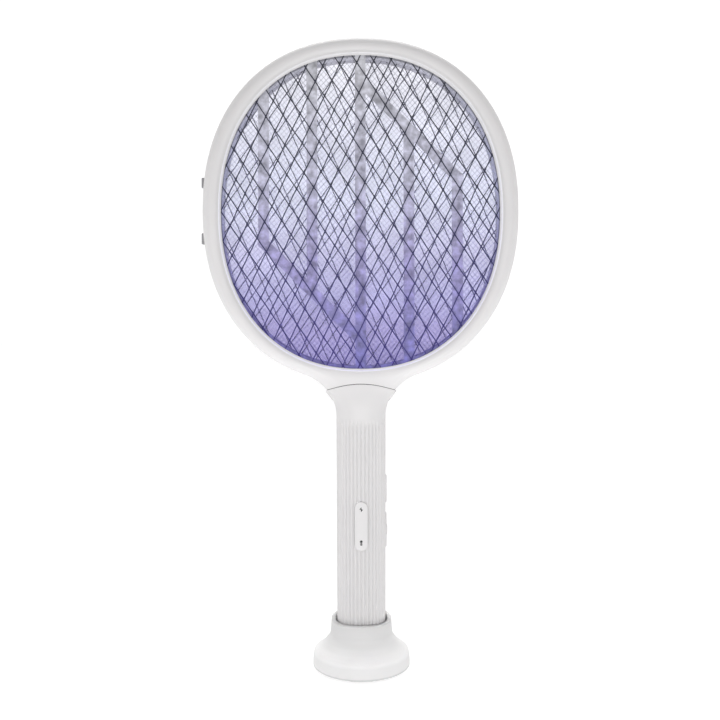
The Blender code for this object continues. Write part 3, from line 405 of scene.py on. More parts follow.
finishes = {
    # one white plastic: its pinkish tint is its own, but the shell's colour is set darker as painted shade
    # and the stand's lighter as painted light
    "shell": plastic("whiteShellShaded", (0.745, 0.732, 0.737), 0.42, subsurface=0.08),
    "stand": plastic("whiteStandLit", (0.83, 0.824, 0.826), 0.46, subsurface=0.08),
    "button": plastic("whiteButton", (0.725, 0.712, 0.717), 0.36, coat=0.1),
    "dark": plastic("darkPlastic", (0.045, 0.045, 0.05), 0.5, tint=0.2),
    # latch grey: painted shade of the slots the latches sit in
    "latch": plastic("latchShadePlastic", (0.30, 0.30, 0.31), 0.5, tint=0.1),
    # dark strip in the head-grip joint: painted shade of the seam
    "seamShade": plastic("seamShadeStrip", (0.16, 0.155, 0.155), 0.6, tint=0.15),
    "mark": plastic("printedMark", (0.012, 0.012, 0.013), 0.55, tint=0.15),
    "rubber": plastic("rubberPad", (0.22, 0.22, 0.23), 0.8, grain=900.0, relief=0.04 * mm, tint=0.15),
    "steel": metal("screwSteel", (0.62, 0.62, 0.64)),
    "board": plastic("boardGreen", (0.03, 0.19, 0.08), 0.45, tint=0.3),
    "wrap": plastic("cellWrap", (0.05, 0.21, 0.46), 0.3, tint=0.1, coat=0.3),
    "tape": plastic("coilTape", (0.68, 0.46, 0.08), 0.4, tint=0.2),
    "chip": plastic("chipBlack", (0.02, 0.02, 0.02), 0.4, tint=0.3),
    "leadRed": plastic("leadRed", (0.45, 0.02, 0.02), 0.4, tint=0.1),
    "leadBlack": plastic("leadBlack", (0.02, 0.02, 0.02), 0.4, tint=0.2),
    # nets, grid and rear ring below: the violet towards the bottom is painted lamp light and their emission a
    # painted glow; the wires' dark grey is their own
    "frontNet": paintedLampLightMaterial("frontNetMetal", [
        (0.0, (0.060, 0.047, 0.24)), (0.25, (0.050, 0.045, 0.17)),
        (0.55, (0.038, 0.041, 0.08)), (1.0, (0.050, 0.052, 0.068))], 0.10, 0.45, 0.2),
    "rearNet": paintedLampLightMaterial("rearNetMetal", [
        (0.0, (0.07, 0.055, 0.24)), (0.3, (0.05, 0.045, 0.15)),
        (0.6, (0.035, 0.038, 0.07)), (1.0, (0.045, 0.045, 0.06))], 0.10, 0.5, 0.2),
    "grid": paintedLampLightMaterial("fineGridWire", [
        (0.0, (0.20, 0.16, 0.48)), (0.3, (0.28, 0.26, 0.55)),
        (0.6, (0.40, 0.41, 0.62)), (1.0, (0.46, 0.46, 0.52))], 0.25, 0.4, 0.3, mottling=0.5),
    # cavity wall: its dark grey is painted shade of the recess between the nets, its violet towards the
    # bottom painted lamp light
    "cavity": paintedLampLightMaterial("cavityShadeAndGlow", [
        (0.0, (0.10, 0.09, 0.34)), (0.2, (0.12, 0.11, 0.30)),
        (0.5, (0.20, 0.20, 0.28)), (1.0, (0.26, 0.26, 0.28))], 0.05, 0.5, grain=300.0, mottling=0.2),
    # ribs: white plastic painted grey as shade behind the front net, and violet towards the bottom as painted
    # lamp light
    "lattice": paintedLampLightMaterial("ribShadeAndGlow", [
        (0.0, (0.17, 0.155, 0.47)), (0.12, (0.22, 0.20, 0.50)),
        (0.35, (0.36, 0.33, 0.60)), (0.6, (0.51, 0.505, 0.65)),
        (1.0, (0.58, 0.58, 0.62))], 0.30, 0.5, grain=200.0, mottling=0.6),
    "litRing": paintedLampLightMaterial("litRing", [
        (0.0, (0.24, 0.21, 0.54)), (0.5, (0.50, 0.50, 0.62)),
        (1.0, (0.56, 0.56, 0.58))], 0.26, 0.5, grain=300.0, mottling=0.15),
    # lip round the opening: its light colour and glow are a painted highlight, violet towards the bottom from
    # painted lamp light
    "paintedLipHighlight": paintedLampLightMaterial("paintedLipHighlight", [
        (0.0, (0.84, 0.82, 0.95)), (0.5, (0.80, 0.795, 0.86)),
        (1.0, (0.70, 0.695, 0.71))], 0.08, 0.38, mottling=0.04),
    "lens": plastic("lampLens", (0.35, 0.22, 0.85), 0.15, tint=0.1, coat=0.5),
}


def glowScreenMaterial():
    # thin clear screen in the middle of the head with a painted violet glow: it tints what lies behind it and
    # carries a faint emissive haze, both fading from violet at the bottom to near white at the top as painted
    # lamp light
    material, tree, add, shader, place = newMaterial("violetGlowScreen")
    colour = heightRamp(add, place, [(atShare(share), tone) for share, tone in (
        (0.0, (0.60, 0.57, 0.79)), (0.12, (0.65, 0.62, 0.815)), (0.22, (0.70, 0.69, 0.86)),
        (0.37, (0.785, 0.78, 0.90)), (0.52, (0.85, 0.86, 0.94)), (0.95, (0.93, 0.93, 0.97)))])
    mist = cloud(add, place, 34.0, 4.0)
    drift = remap(add, mist.outputs["Fac"], (0.3, 0.7), (0.94, 1.04))
    tint = product(add, colour, drift.outputs["Result"])
    tree.links.new(tint.outputs["Result"], shader.inputs["Base Color"])
    tree.links.new(tint.outputs["Result"], shader.inputs["Emission Color"])
    shader.inputs["Emission Strength"].default_value = 0.35
    shader.inputs["Roughness"].default_value = 0.55
    clear = add("ShaderNodeBsdfTransparent", {"Color": tint.outputs["Result"]})
    split = add("ShaderNodeSeparateXYZ", {"Vector": place})
    haze = remap(add, split.outputs["Z"], (atShare(0.0), atShare(0.95)), (0.12, 0.06))
    both = add("ShaderNodeMixShader", {"Fac": haze.outputs["Result"], 1: clear.outputs["BSDF"],
                                       2: shader.outputs["BSDF"]})
    tree.links.new(both.outputs["Shader"], tree.nodes["Material Output"].inputs["Surface"])
    return material


def paintShadeByHeight(material, stops):
    # painted light and shade that drift with height, standing in for how the light falls; stops are (height,
    # share of the base colour)
    tree = material.node_tree
    add = nodeBuilder(tree)
    shader = next(node for node in tree.nodes if node.type == "BSDF_PRINCIPLED")
    base = shader.inputs["Base Color"].links[0].from_socket
    place = add("ShaderNodeTexCoord").outputs["Object"]
    tone = heightRamp(add, place, [(height, (share, share, share)) for height, share in stops])
    both = product(add, base, tone)
    tree.links.new(both.outputs["Result"], shader.inputs["Base Color"])


# foot: the dark band at the bottom edge is painted contact shade, the slope is painted lighter and the collar
# darker
standPaintedShade = [
    (0.0, 0.70), (1.9 * mm, 0.74), (2.8 * mm, 0.94), (8.5 * mm, 0.92), (10.5 * mm, 1.0), (12.5 * mm, 1.04),
    (15.0 * mm, 0.98), (19.0 * mm, 0.88), (24.0 * mm, 0.81), (34.0 * mm, 0.79)]
# shell: painted shade darkens the grip and the top of the ring, painted light brightens the neck
shellPaintedShade = [
    (0.0, 0.93), (170.0 * mm, 0.93), (190.0 * mm, 0.98), (206.0 * mm, 1.08), (222.0 * mm, 1.04),
    (260.0 * mm, 0.98), (330.0 * mm, 0.965), (420.0 * mm, 0.90), (441.0 * mm, 0.88)]
paintShadeByHeight(finishes["stand"], standPaintedShade)
paintShadeByHeight(finishes["shell"], shellPaintedShade)
finishes["screen"] = glowScreenMaterial()
print("materials ready")


# geometry nodes helpers
def newTree(name, inputs):
    tree = bpy.data.node_groups.new(name, "GeometryNodeTree")
    tree.interface.new_socket("Geometry", in_out="INPUT", socket_type="NodeSocketGeometry")
    tree.interface.new_socket("Geometry", in_out="OUTPUT", socket_type="NodeSocketGeometry")
    for key, kind in inputs.items():
        tree.interface.new_socket(key, in_out="INPUT", socket_type=kind)
    add = nodeBuilder(tree)
    source = add("NodeGroupInput")
    target = add("NodeGroupOutput")
    return tree, add, source.outputs, target


def closeTree(tree, add, geometry, material, target):
    # every tree ends in Realize Instances and Set Material
    real = add("GeometryNodeRealizeInstances", {"Geometry": geometry})
    dressed = add("GeometryNodeSetMaterial", {"Geometry": real.outputs["Geometry"], "Material": material})
    tree.links.new(dressed.outputs["Geometry"], target.inputs["Geometry"])


def runTree(thing, tree, values):
    modifier = thing.modifiers.new(tree.name, "NODES")
    modifier.node_group = tree
    for item in tree.interface.items_tree:
        if item.in_out == "INPUT" and item.name in values:
            modifier[item.identifier] = values[item.name]
    return bake(thing)


def mathNode(add, operation, a, b=0.0):
    return add("ShaderNodeMath", {0: a, 1: b}, operation=operation).outputs["Value"]


# grip
flutes = {"pitch": 2.78 * mm, "depth": 0.85 * mm, "topZ": 174.0 * mm, "fade": 6.0 * mm, "sharpness": 2.0}
holes = {"buttonGap": 0.1 * mm, "portGap": 0.25 * mm, "latchGap": 0.15 * mm, "gripScrew": 2.6 * mm,
         "frameScrew": 2.5 * mm, "nearRound": 0.0001 * mm, "through": [(0.0, -6 * mm), (0.0, 6 * mm)]}


def fluteTree():
    tree, add, values, target = newTree("gripFlutes", {
        "Pitch": "NodeSocketFloat", "Depth": "NodeSocketFloat", "Top": "NodeSocketFloat",
        "Fade": "NodeSocketFloat", "Material": "NodeSocketMaterial"})
    girth = add("GeometryNodeInputNamedAttribute", {"Name": "girth"}, data_type="FLOAT").outputs["Attribute"]
    turns = mathNode(add, "MULTIPLY", mathNode(add, "DIVIDE", girth, values["Pitch"]), 2 * math.pi)
    wave = mathNode(add, "MULTIPLY", mathNode(add, "ADD", mathNode(add, "COSINE", turns), 1.0), 0.5)
    groove = mathNode(add, "POWER", wave, flutes["sharpness"])
    split = add("ShaderNodeSeparateXYZ", {"Vector": add("GeometryNodeInputPosition").outputs["Position"]})
    below = mathNode(add, "SUBTRACT", values["Top"], split.outputs["Z"])
    fade = remap(add, below, (0.0, values["Fade"]), interpolation_type="SMOOTHSTEP")
    ridge = add("GeometryNodeInputNamedAttribute", {"Name": "ridge"}, data_type="FLOAT").outputs["Attribute"]
    groove = mathNode(add, "MULTIPLY", groove, ridge)
    amount = mathNode(add, "MULTIPLY", mathNode(add, "MULTIPLY", groove, fade.outputs["Result"]),
                      mathNode(add, "MULTIPLY", values["Depth"], -1.0))
    normal = add("GeometryNodeInputNormal").outputs["Normal"]
    offset = add("ShaderNodeVectorMath", {0: normal, "Scale": amount}, operation="SCALE")
    moved = add("GeometryNodeSetPosition", {"Geometry": values["Geometry"],
                                            "Offset": offset.outputs["Vector"]})
    closeTree(tree, add, moved.outputs["Geometry"], values["Material"], target)
    return tree


def seamHeight(x, offset=0.0):
    radius = grip["seamRadius"] + offset
    return grip["seamTop"] - grip["seamRadius"] + np.sqrt(radius ** 2 - x ** 2)


def halfSection(count):
    # even steps round half the grip's section: share of the half width, and distance round from the front
    angle = np.linspace(0, math.pi, 4001)
    x = sgnPow(np.cos(angle), 2 / grip["power"]) * grip["halfWidth"]
    y = sgnPow(np.sin(angle), 2 / grip["power"]) * grip["halfDepth"]
    run = np.concatenate([[0], np.cumsum(np.hypot(np.diff(x), np.diff(y)))])
    even = np.linspace(0, run[-1], count)
    return np.interp(even, run, x) / grip["halfWidth"], even - run[-1] / 2


def gripSheet(side, name):
    share, girth = halfSection(200)
    rise = np.concatenate([np.linspace(0, 0.84, 70), np.linspace(0.845, 1.0, 34)])
    columns = np.zeros((len(rise), len(share), 3))
    for row, v in enumerate(rise):
        z = np.full(len(share), grip["baseZ"] + v * (grip["seamTop"] - grip["baseZ"]))
        for _ in range(6):      # the top rows follow the arched joint
            x = share * gripWidth(z)
            z = grip["baseZ"] + v * (seamHeight(x, -grip["seamGap"] / 2) - grip["baseZ"])
        depth = shellDepth(x, z)
        if v < 0.84:
            taper = grip["taper"] * (grip["neckZ"] - z) / grip["neckZ"]
            exact = (1 - np.clip(np.abs(share), 0, 1) ** grip["power"]) ** (1 / grip["power"])
            depth = np.where(z < grip["neckZ"], exact * (grip["halfDepth"] - taper), depth)
        columns[row, :, 0] = x
        columns[row, :, 1] = side * np.maximum(depth, 0.03 * mm)
        columns[row, :, 2] = z
    groove = columns[:, [0, -1], :].copy()      # parting line: the edge turns in a little
    groove[:, :, 0] *= 1 - 0.012
    columns[:, [0, -1], 1] = side * 0.13 * mm
    columns = np.concatenate([groove[:, :1], columns, groove[:, 1:]], axis=1)
    girth = np.concatenate([girth[:1], girth, girth[-1:]])
    if side > 0:
        columns = columns[:, ::-1]
    mesh = sheetMesh(name, columns)
    ridge = smooth(0.3 * mm, 1.7 * mm, np.abs(girth).max() - np.abs(girth))
    for key, values in (("girth", girth), ("ridge", ridge)):
        store = mesh.attributes.new(key, "FLOAT", "POINT")
        store.data.foreach_set("value", np.tile(values, len(rise)).astype(np.float32))
    return addObject(name, mesh)


def controlHoles():
    front = middle("zap_button")
    buttonSize = [h - l for l, h in zip(*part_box("zap_button"))]
    side = middle("side_button")
    sideSize = [h - l for l, h in zip(*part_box("side_button"))]
    bezel = middle("mode_switch_bezel")
    bezelSize = [h - l for l, h in zip(*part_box("mode_switch_bezel"))]
    through = holes["through"]
    gap = holes["buttonGap"]
    frontHole = capsuleSolid("hole", buttonSize[2] / 2 + gap, buttonSize[0] / 2 + gap, through,
                             (front.x, -grip["halfDepth"], front.z), (1, 0, 0), (0, 0, 1), (0, -1, 0))
    sideHoles = [
        capsuleSolid("hole", sideSize[2] / 2 + gap, sideSize[1] / 2 + gap, through,
                     (grip["halfWidth"], 0, side.z), (0, 1, 0), (0, 0, 1), (1, 0, 0)),
        capsuleSolid("hole", bezelSize[2] / 2 + gap, bezelSize[1] / 2 + gap, through,
                     (grip["halfWidth"], 0, bezel.z), (0, 1, 0), (0, 0, 1), (1, 0, 0))]
    return frontHole, sideHoles


def makeGrip():
    tree = fluteTree()
    for side, name, node in ((-1, "gripFront", "handle_front_shell"), (1, "gripRear", "handle_rear_shell")):
        shell = gripSheet(side, name)
        shell.data.shade_smooth()
        if shell.data.polygons[len(shell.data.polygons) // 2].normal.y * side < 0:
            shell.data.flip_normals()
        runTree(shell, tree, {"Pitch": flutes["pitch"], "Depth": flutes["depth"], "Top": flutes["topZ"],
                              "Fade": flutes["fade"], "Material": finishes["shell"]})
        thick = shell.modifiers.new("wall", "SOLIDIFY")
        thick.thickness = grip["wall"]
        thick.offset = -1.0
        bake(shell)
        frontHole, sideHoles = controlHoles()
        cut(shell, ([frontHole] if side < 0 else [portHole(), screwHole()]) + sideHoles)
        shadeSmooth(shell, 40)
        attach(shell, "racket")
        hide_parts(node)
    print("grip shells ready")


def portHole():
    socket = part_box("charge_socket")
    size = [h - l for l, h in zip(*socket)]
    gap = holes["portGap"]
    return capsuleSolid("hole", size[0] / 2 + gap, size[2] / 2 + gap, holes["through"],
                        (0, grip["halfDepth"], middle("charge_socket").z), (0, 0, 1), (1, 0, 0), (0, 1, 0))


def screwHole():
    place = middle("handle_screw_2")
    radius = holes["gripScrew"]
    return capsuleSolid("hole", radius, radius - holes["nearRound"], holes["through"],
                        (place.x, grip["halfDepth"], place.z), (1, 0, 0), (0, 0, 1), (0, 1, 0))


# head shells
lip = {
    "beadHeight": 0.30 * mm, "beadPlace": 0.55 * mm, "beadWidth": 0.42 * mm,
    "grooveDepth": 0.16 * mm, "groovePlace": 1.45 * mm, "grooveWidth": 0.32 * mm,
    "rows": [2.2, 1.9, 1.6, 1.35, 1.1, 0.85, 0.6, 0.38, 0.18, 0.0],       # mm from the opening
    "section": [(0.10 * mm, 0.25 * mm), (0.12 * mm, 0.6 * mm), (0.0, 0.95 * mm),
                (-0.5 * mm, 1.0 * mm), (-1.8 * mm, 1.0 * mm)],            # (inset, depth behind the lip)
}


def lipBead(gap):
    # small rounded bead round the opening, with a shallow groove outside it
    bead = lip["beadHeight"] * np.exp(-((gap - lip["beadPlace"]) / lip["beadWidth"]) ** 2)
    groove = lip["grooveDepth"] * np.exp(-((gap - lip["groovePlace"]) / lip["grooveWidth"]) ** 2)
    return bead - groove


def headColumns():
    # outline of the head with the end of its neck, as one closed run of (x, z)
    cornerIndex = np.argmin(np.abs(neckSide[:, 1] - seamHeight(neckSide[:, 0], grip["seamGap"] / 2)))
    corner = neckSide[cornerIndex]
    angles = np.linspace(joinAngle, math.pi / 2, 190)
    x, z = ringOutline(angles)
    rightSide = np.concatenate([neckSide[cornerIndex:0:-1], np.stack([x, z], 1)])
    seamX = np.linspace(-corner[0], corner[0], 40)[1:-1]
    seam = np.stack([seamX, seamHeight(seamX, grip["seamGap"] / 2)], 1)
    leftSide = rightSide[::-1][1:] * (-1, 1)
    outline = np.concatenate([seam, rightSide, leftSide])
    onSeam = np.zeros(len(outline), bool)
    onSeam[:len(seam)] = True
    return outline, onSeam


def makeHead():
    outline, onSeam = headColumns()
    middlePoint = np.array([0, openingZ])
    direction = outline - middlePoint
    across, upward = openingSize()
    power = head["power"]
    scale = ((np.abs(direction) / (across, upward)) ** power).sum(1) ** (-1 / power)
    opening = direction * scale[:, None] + middlePoint
    length = np.hypot(*(opening - outline).T)
    ease = np.linspace(0, math.pi, 25)
    nearLip = np.array(lip["rows"]) * mm
    bands = [(share, 0.0) for share in 0.5 * (1 - np.cos(ease))] + [(1.0, gap) for gap in nearLip]
    for side, name, node in ((-1, "headFront", "head_front_frame"), (1, "headRear", "head_rear_frame")):
        rows = []
        edgeIn = outline + (opening - outline) * 0.014
        low = np.where(onSeam, 0.0, 0.1 * mm)
        for share, gap in bands:
            reach = (length - gap if share == 1.0 and gap else (length - nearLip[0] - 0.3 * mm) * share)
            reach = length if (share, gap) == bands[-1] else reach
            spot = outline + (opening - outline) * (reach / length)[:, None]
            depth = shellDepth(spot[:, 0], spot[:, 1])
            fromLip = length - reach
            depth = depth + lipBead(fromLip)
            if share == 0:
                depth = np.where(onSeam, depth, head["edge"])
            rows.append(np.stack([spot[:, 0], side * np.maximum(depth, head["edge"]), spot[:, 1]], 1))
        first = rows[0].copy()
        first[:, 1] = side * np.where(onSeam, np.maximum(np.abs(rows[0][:, 1]) - 3 * mm, 0.1 * mm), low)
        first[:, 0] = np.where(onSeam, outline[:, 0], edgeIn[:, 0])
        first[:, 2] = np.where(onSeam, outline[:, 1], edgeIn[:, 1])
        rows.insert(0, first)
        last = rows[-1]
        lipDepth = np.abs(last[:, 1])
        inner = []
        for inset, back in lip["section"]:
            direct = opening - middlePoint
            length = np.hypot(direct[:, 0], direct[:, 1])
            spot = middlePoint + direct * ((length - inset) / length)[:, None]
            inner.append(np.stack([spot[:, 0], side * (lipDepth - back), spot[:, 1]], 1))
        grid = np.array(rows + inner)
        mesh = sheetMesh(name, grid, closeRows=True)
        shell = addObject(name, mesh, material=finishes["shell"])
        # faces round the opening take the lip material with the painted highlight
        mesh.materials.append(finishes["paintedLipHighlight"])
        lipStart = (len(rows) - 6) * len(outline)
        for polygon in mesh.polygons[lipStart:]:
            polygon.material_index = 1
        crownFace = shell.data.polygons[len(bands) // 2 * len(outline) + 100]
        if crownFace.normal.y * side < 0:
            shell.data.flip_normals()
        thick = shell.modifiers.new("wall", "SOLIDIFY")
        thick.thickness = head["wall"]
        thick.offset = -1.0
        bake(shell)
        cutters = [latchHole(node) for node in ("head_latch_upper", "head_latch_lower")]
        if side > 0:
            cutters += [roundHole(f"frame_screw_{k}") for k in range(1, 7)]
        cut(shell, cutters)
        shadeSmooth(shell, 40)
        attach(shell, "racket")
        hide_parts(node)
    print("head shells ready")


strip = {"half": 0.23 * mm, "sunk": 0.4 * mm, "endGap": 0.75 * mm, "columns": 81}


def makeSeamShadeStrip():
    # thin dark strip in the joint between head and grip, sunk below both: painted shade standing in for the
    # shadow in the seam
    across = np.linspace(-1, 1, strip["columns"])
    width = 0.0
    for _ in range(6):
        width = float(gripWidth(seamHeight(np.array(width)))) - strip["endGap"]
    x = across * width
    rows = []
    for offset in (-strip["half"], strip["half"]):
        z = seamHeight(x, offset)
        depth = np.maximum(shellDepth(x, z) - strip["sunk"], strip["sunk"])
        front = np.stack([x, -depth, z], 1)
        rear = np.stack([x, depth, z], 1)[::-1]
        rows.append(np.concatenate([front, rear]))
    mesh = sheetMesh("seamShadeStrip", np.array(rows), closeRows=True)
    bm = bmesh.new()
    bm.from_mesh(mesh)
    bm.verts.ensure_lookup_table()
    half = len(across)
    for start in (0, 2 * half):      # quads between the front and the rear edge close both ends
        for k in range(half - 1):
            corners = (start + k, start + k + 1, start + 2 * half - 2 - k, start + 2 * half - 1 - k)
            bm.faces.new([bm.verts[c] for c in corners])
    bmesh.ops.recalc_face_normals(bm, faces=bm.faces)
    bm.to_mesh(mesh)
    bm.free()
    seamShade = addObject("seamShadeStrip", mesh, "racket", finishes["seamShade"])
    print("joint strip ready")


def latchHole(node):
    low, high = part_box(node)
    gap = holes["latchGap"]
    bm = bmesh.new()
    bmesh.ops.create_cube(bm, size=1.0)
    for vert in bm.verts:
        vert.co = Vector([(low[i] - gap if vert.co[i] < 0 else high[i] + gap) for i in range(3)])
    mesh = bpy.data.meshes.new("hole")
    bm.to_mesh(mesh)
    bm.free()
    return mesh


def roundHole(node):
    place = middle(node)
    radius = holes["frameScrew"]
    return capsuleSolid("hole", radius, radius - holes["nearRound"], [(0, 6 * mm), (0, 16 * mm)],
                        (place.x, 0, place.z), (1, 0, 0), (0, 0, 1), (0, 1, 0))


# nets
nets = {
    "front": {"node": "front_guard_net", "finish": "frontNet", "fallAngle": -56.1, "fallPeriod": 10.50 * mm,
              "riseAngle": 64.4, "risePeriod": 10.26 * mm, "anchorX": -0.97 * mm, "anchorZ": 400.3 * mm,
              "radius": 0.42 * mm, "knot": 0.6, "seed": 3.0, "sideGap": 0.5 * mm, "endGap": 0.1 * mm},
    "rear": {"node": "rear_guard_net", "finish": "rearNet", "fallAngle": -66.2, "fallPeriod": 10.34 * mm,
             "riseAngle": 54.9, "risePeriod": 10.48 * mm, "anchorX": -10.7 * mm, "anchorZ": 390.2 * mm,
             "radius": 0.40 * mm, "knot": 0.5, "seed": 8.0, "sideGap": 0.5 * mm, "endGap": 0.1 * mm},
}
fineGrid = {"fallAngle": -50.0, "riseAngle": 47.0, "pitch": 2.7 * mm, "radius": 0.15 * mm,
            "anchorX": 0.6 * mm, "gap": 0.5 * mm}


def strandFamily(add, values, count, bends, angleKey, periodKey, otherAngle, otherPeriod):
    # parallel strands at one angle, trimmed to the head's outline, thicker where they meet the other family
    reach = 0.60
    line = add("GeometryNodeCurvePrimitiveLine", {"Start": (-reach / 2, 0, 0), "End": (reach / 2, 0, 0)})
    fine = add("GeometryNodeResampleCurve", {"Curve": line.outputs["Curve"], "Count": 340})
    start = add("ShaderNodeCombineXYZ", {"Z": mathNode(add, "MULTIPLY", values[periodKey], -(count // 2))})
    step = add("ShaderNodeCombineXYZ", {"Z": values[periodKey]})
    spots = add("GeometryNodeMeshLine", {"Count": count + 1, "Start Location": start.outputs["Vector"],
                                         "Offset": step.outputs["Vector"]})
    copies = add("GeometryNodeInstanceOnPoints",
                 {"Points": spots.outputs["Mesh"], "Instance": fine.outputs["Curve"]})
    strands = add("GeometryNodeRealizeInstances", {"Geometry": copies.outputs["Instances"]})
    turn = mathNode(add, "MULTIPLY", mathNode(add, "RADIANS", values[angleKey]), -1.0)
    rotation = add("ShaderNodeCombineXYZ", {"Y": turn})
    shift = add("ShaderNodeCombineXYZ", {"X": values["Anchor X"], "Y": values["Depth"],
                                         "Z": values["Anchor Z"]})
    placed = add("GeometryNodeTransform", {"Geometry": strands.outputs["Geometry"],
                                           "Translation": shift.outputs["Vector"],
                                           "Rotation": rotation.outputs["Vector"]})
    spot = add("ShaderNodeSeparateXYZ", {"Vector": add("GeometryNodeInputPosition").outputs["Position"]})
    # distance from the nearest strand of the other family
    other = mathNode(add, "RADIANS", values[otherAngle])
    alongX = mathNode(add, "MULTIPLY", mathNode(add, "SUBTRACT", spot.outputs["X"], values["Anchor X"]),
                      mathNode(add, "MULTIPLY", mathNode(add, "SINE", other), -1.0))
    alongZ = mathNode(add, "MULTIPLY", mathNode(add, "SUBTRACT", spot.outputs["Z"], values["Anchor Z"]),
                      mathNode(add, "COSINE", other))
    phase = mathNode(add, "DIVIDE", mathNode(add, "ADD", alongX, alongZ), values[otherPeriod])
    away = mathNode(add, "ABSOLUTE", mathNode(add, "SUBTRACT", phase, mathNode(add, "ROUND", phase)))
    near = remap(add, away, (0.0, 0.13), (1.0, 0.0), interpolation_type="SMOOTHSTEP")
    # level is 1 on the trimming outline
    parts = []
    upright = mathNode(add, "SUBTRACT", spot.outputs["Z"], values["Centre Z"])
    for offset, reachKey in ((spot.outputs["X"], "Half Width"), (upright, "Half Height")):
        share = mathNode(add, "DIVIDE", mathNode(add, "ABSOLUTE", offset), values[reachKey])
        parts.append(mathNode(add, "POWER", share, values["Power"]))
    level = mathNode(add, "ADD", *parts)
    outside = add("FunctionNodeCompare", {"A": level, "B": 1.0}, data_type="FLOAT", operation="GREATER_THAN")
    trimmed = add("GeometryNodeDeleteGeometry", {"Geometry": placed.outputs["Geometry"],
                                                 "Selection": outside.outputs["Result"]}, domain="POINT")
    if bends:
        trimmed = add("GeometryNodeResampleCurve", {"Curve": trimmed.outputs["Geometry"], "Count": bends})
    # the strands aren't quite straight: a slow, small wander
    wander = add("ShaderNodeTexNoise", {"Vector": add("GeometryNodeInputPosition").outputs["Position"],
                                        "Scale": 85.0, "Detail": 1.0, "W": values["Seed"]},
                 noise_dimensions="4D")
    centred = add("ShaderNodeVectorMath", {0: wander.outputs["Color"], 1: (0.5, 0.5, 0.5)},
                  operation="SUBTRACT")
    small = add("ShaderNodeVectorMath", {0: centred.outputs["Vector"], "Scale": 0.9 * mm}, operation="SCALE")
    flat = add("ShaderNodeVectorMath", {0: small.outputs["Vector"], 1: (1.0, 0.3, 1.0)},
               operation="MULTIPLY")
    bent = add("GeometryNodeSetPosition", {"Geometry": trimmed.outputs[0],
                                           "Offset": flat.outputs["Vector"]})
    swell = mathNode(add, "ADD", mathNode(add, "MULTIPLY", near.outputs["Result"], values["Knot"]), 1.0)
    thick = mathNode(add, "MULTIPLY", swell, values["Strand Radius"])
    sized = add("GeometryNodeSetCurveRadius", {"Curve": bent.outputs["Geometry"], "Radius": thick})
    return sized.outputs["Curve"]


def netTree(name, count, bends, sides):
    numbers = ("Fall Angle", "Fall Period", "Rise Angle", "Rise Period", "Anchor X", "Anchor Z", "Depth",
               "Half Width", "Half Height", "Power", "Centre Z", "Strand Radius", "Knot", "Seed")
    sockets = {**{key: "NodeSocketFloat" for key in numbers}, "Material": "NodeSocketMaterial"}
    tree, add, values, target = newTree(name, sockets)
    join = add("GeometryNodeJoinGeometry")
    for own, ownPeriod, other, otherPeriod in (("Fall Angle", "Fall Period", "Rise Angle", "Rise Period"),
                                               ("Rise Angle", "Rise Period", "Fall Angle", "Fall Period")):
        curves = strandFamily(add, values, count, bends, own, ownPeriod, other, otherPeriod)
        tree.links.new(curves, join.inputs["Geometry"])
    profile = add("GeometryNodeCurvePrimitiveCircle", {"Resolution": sides, "Radius": 1.0})
    radius = add("GeometryNodeInputRadius")
    solid = add("GeometryNodeCurveToMesh", {"Curve": join.outputs["Geometry"],
                                            "Profile Curve": profile.outputs["Curve"],
                                            "Scale": radius.outputs["Radius"], "Fill Caps": True})
    closeTree(tree, add, solid.outputs["Mesh"], values["Material"], target)
    return tree


def makeNets():
    tree = netTree("guardNet", 56, 0, 6)
    for key, net in nets.items():
        low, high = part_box(net["node"])
        piece = addObject(f"{key}Net", bpy.data.meshes.new(f"{key}Net"))
        runTree(piece, tree, {
            "Fall Angle": net["fallAngle"], "Fall Period": net["fallPeriod"],
            "Rise Angle": net["riseAngle"], "Rise Period": net["risePeriod"],
            "Anchor X": net["anchorX"], "Anchor Z": net["anchorZ"], "Depth": (low[1] + high[1]) / 2,
            "Half Width": high[0] - net["sideGap"], "Half Height": (high[2] - low[2]) / 2 - net["endGap"],
            "Power": head["power"], "Centre Z": head["centreZ"], "Strand Radius": net["radius"],
            "Knot": net["knot"], "Seed": net["seed"], "Material": finishes[net["finish"]]})
        shadeSmooth(piece, 50)
        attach(piece, "racket")
        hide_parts(net["node"])
    low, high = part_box("high_voltage_net")
    piece = addObject("middleNet", bpy.data.meshes.new("middleNet"))
    runTree(piece, netTree("fineGrid", 130, 26, 4), {
        "Fall Angle": fineGrid["fallAngle"], "Fall Period": fineGrid["pitch"],
        "Rise Angle": fineGrid["riseAngle"], "Rise Period": fineGrid["pitch"],
        "Anchor X": fineGrid["anchorX"], "Anchor Z": head["centreZ"], "Depth": (low[1] + high[1]) / 2,
        "Half Width": high[0] - fineGrid["gap"], "Half Height": (high[2] - low[2]) / 2 - fineGrid["gap"],
        "Power": head["power"], "Centre Z": head["centreZ"], "Strand Radius": fineGrid["radius"],
        "Knot": 0.3, "Seed": 5.0, "Material": finishes["grid"]})
    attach(piece, "racket")
    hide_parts("high_voltage_net")
    print("nets ready")


def slab(name, outlines, nearY, farY):
    # closed flat solids between two depths; an outline is a list of (x, z)
    bm = bmesh.new()
    for outline in outlines:
        rows = [[bm.verts.new(Vector((float(x), y, float(z)))) for x, z in outline] for y in (nearY, farY)]
        for k in range(len(outline)):
            m = (k + 1) % len(outline)
            bm.faces.new((rows[0][k], rows[0][m], rows[1][m], rows[1][k]))
        bm.faces.new(rows[0])
        bm.faces.new(rows[1])
    bmesh.ops.recalc_face_normals(bm, faces=bm.faces)
    mesh = bpy.data.meshes.new(name)
    bm.to_mesh(mesh)
    bm.free()
    return mesh


film = {"count": 96, "inset": 9.9 * mm, "behindNet": 0.25 * mm, "thickness": 0.12 * mm}


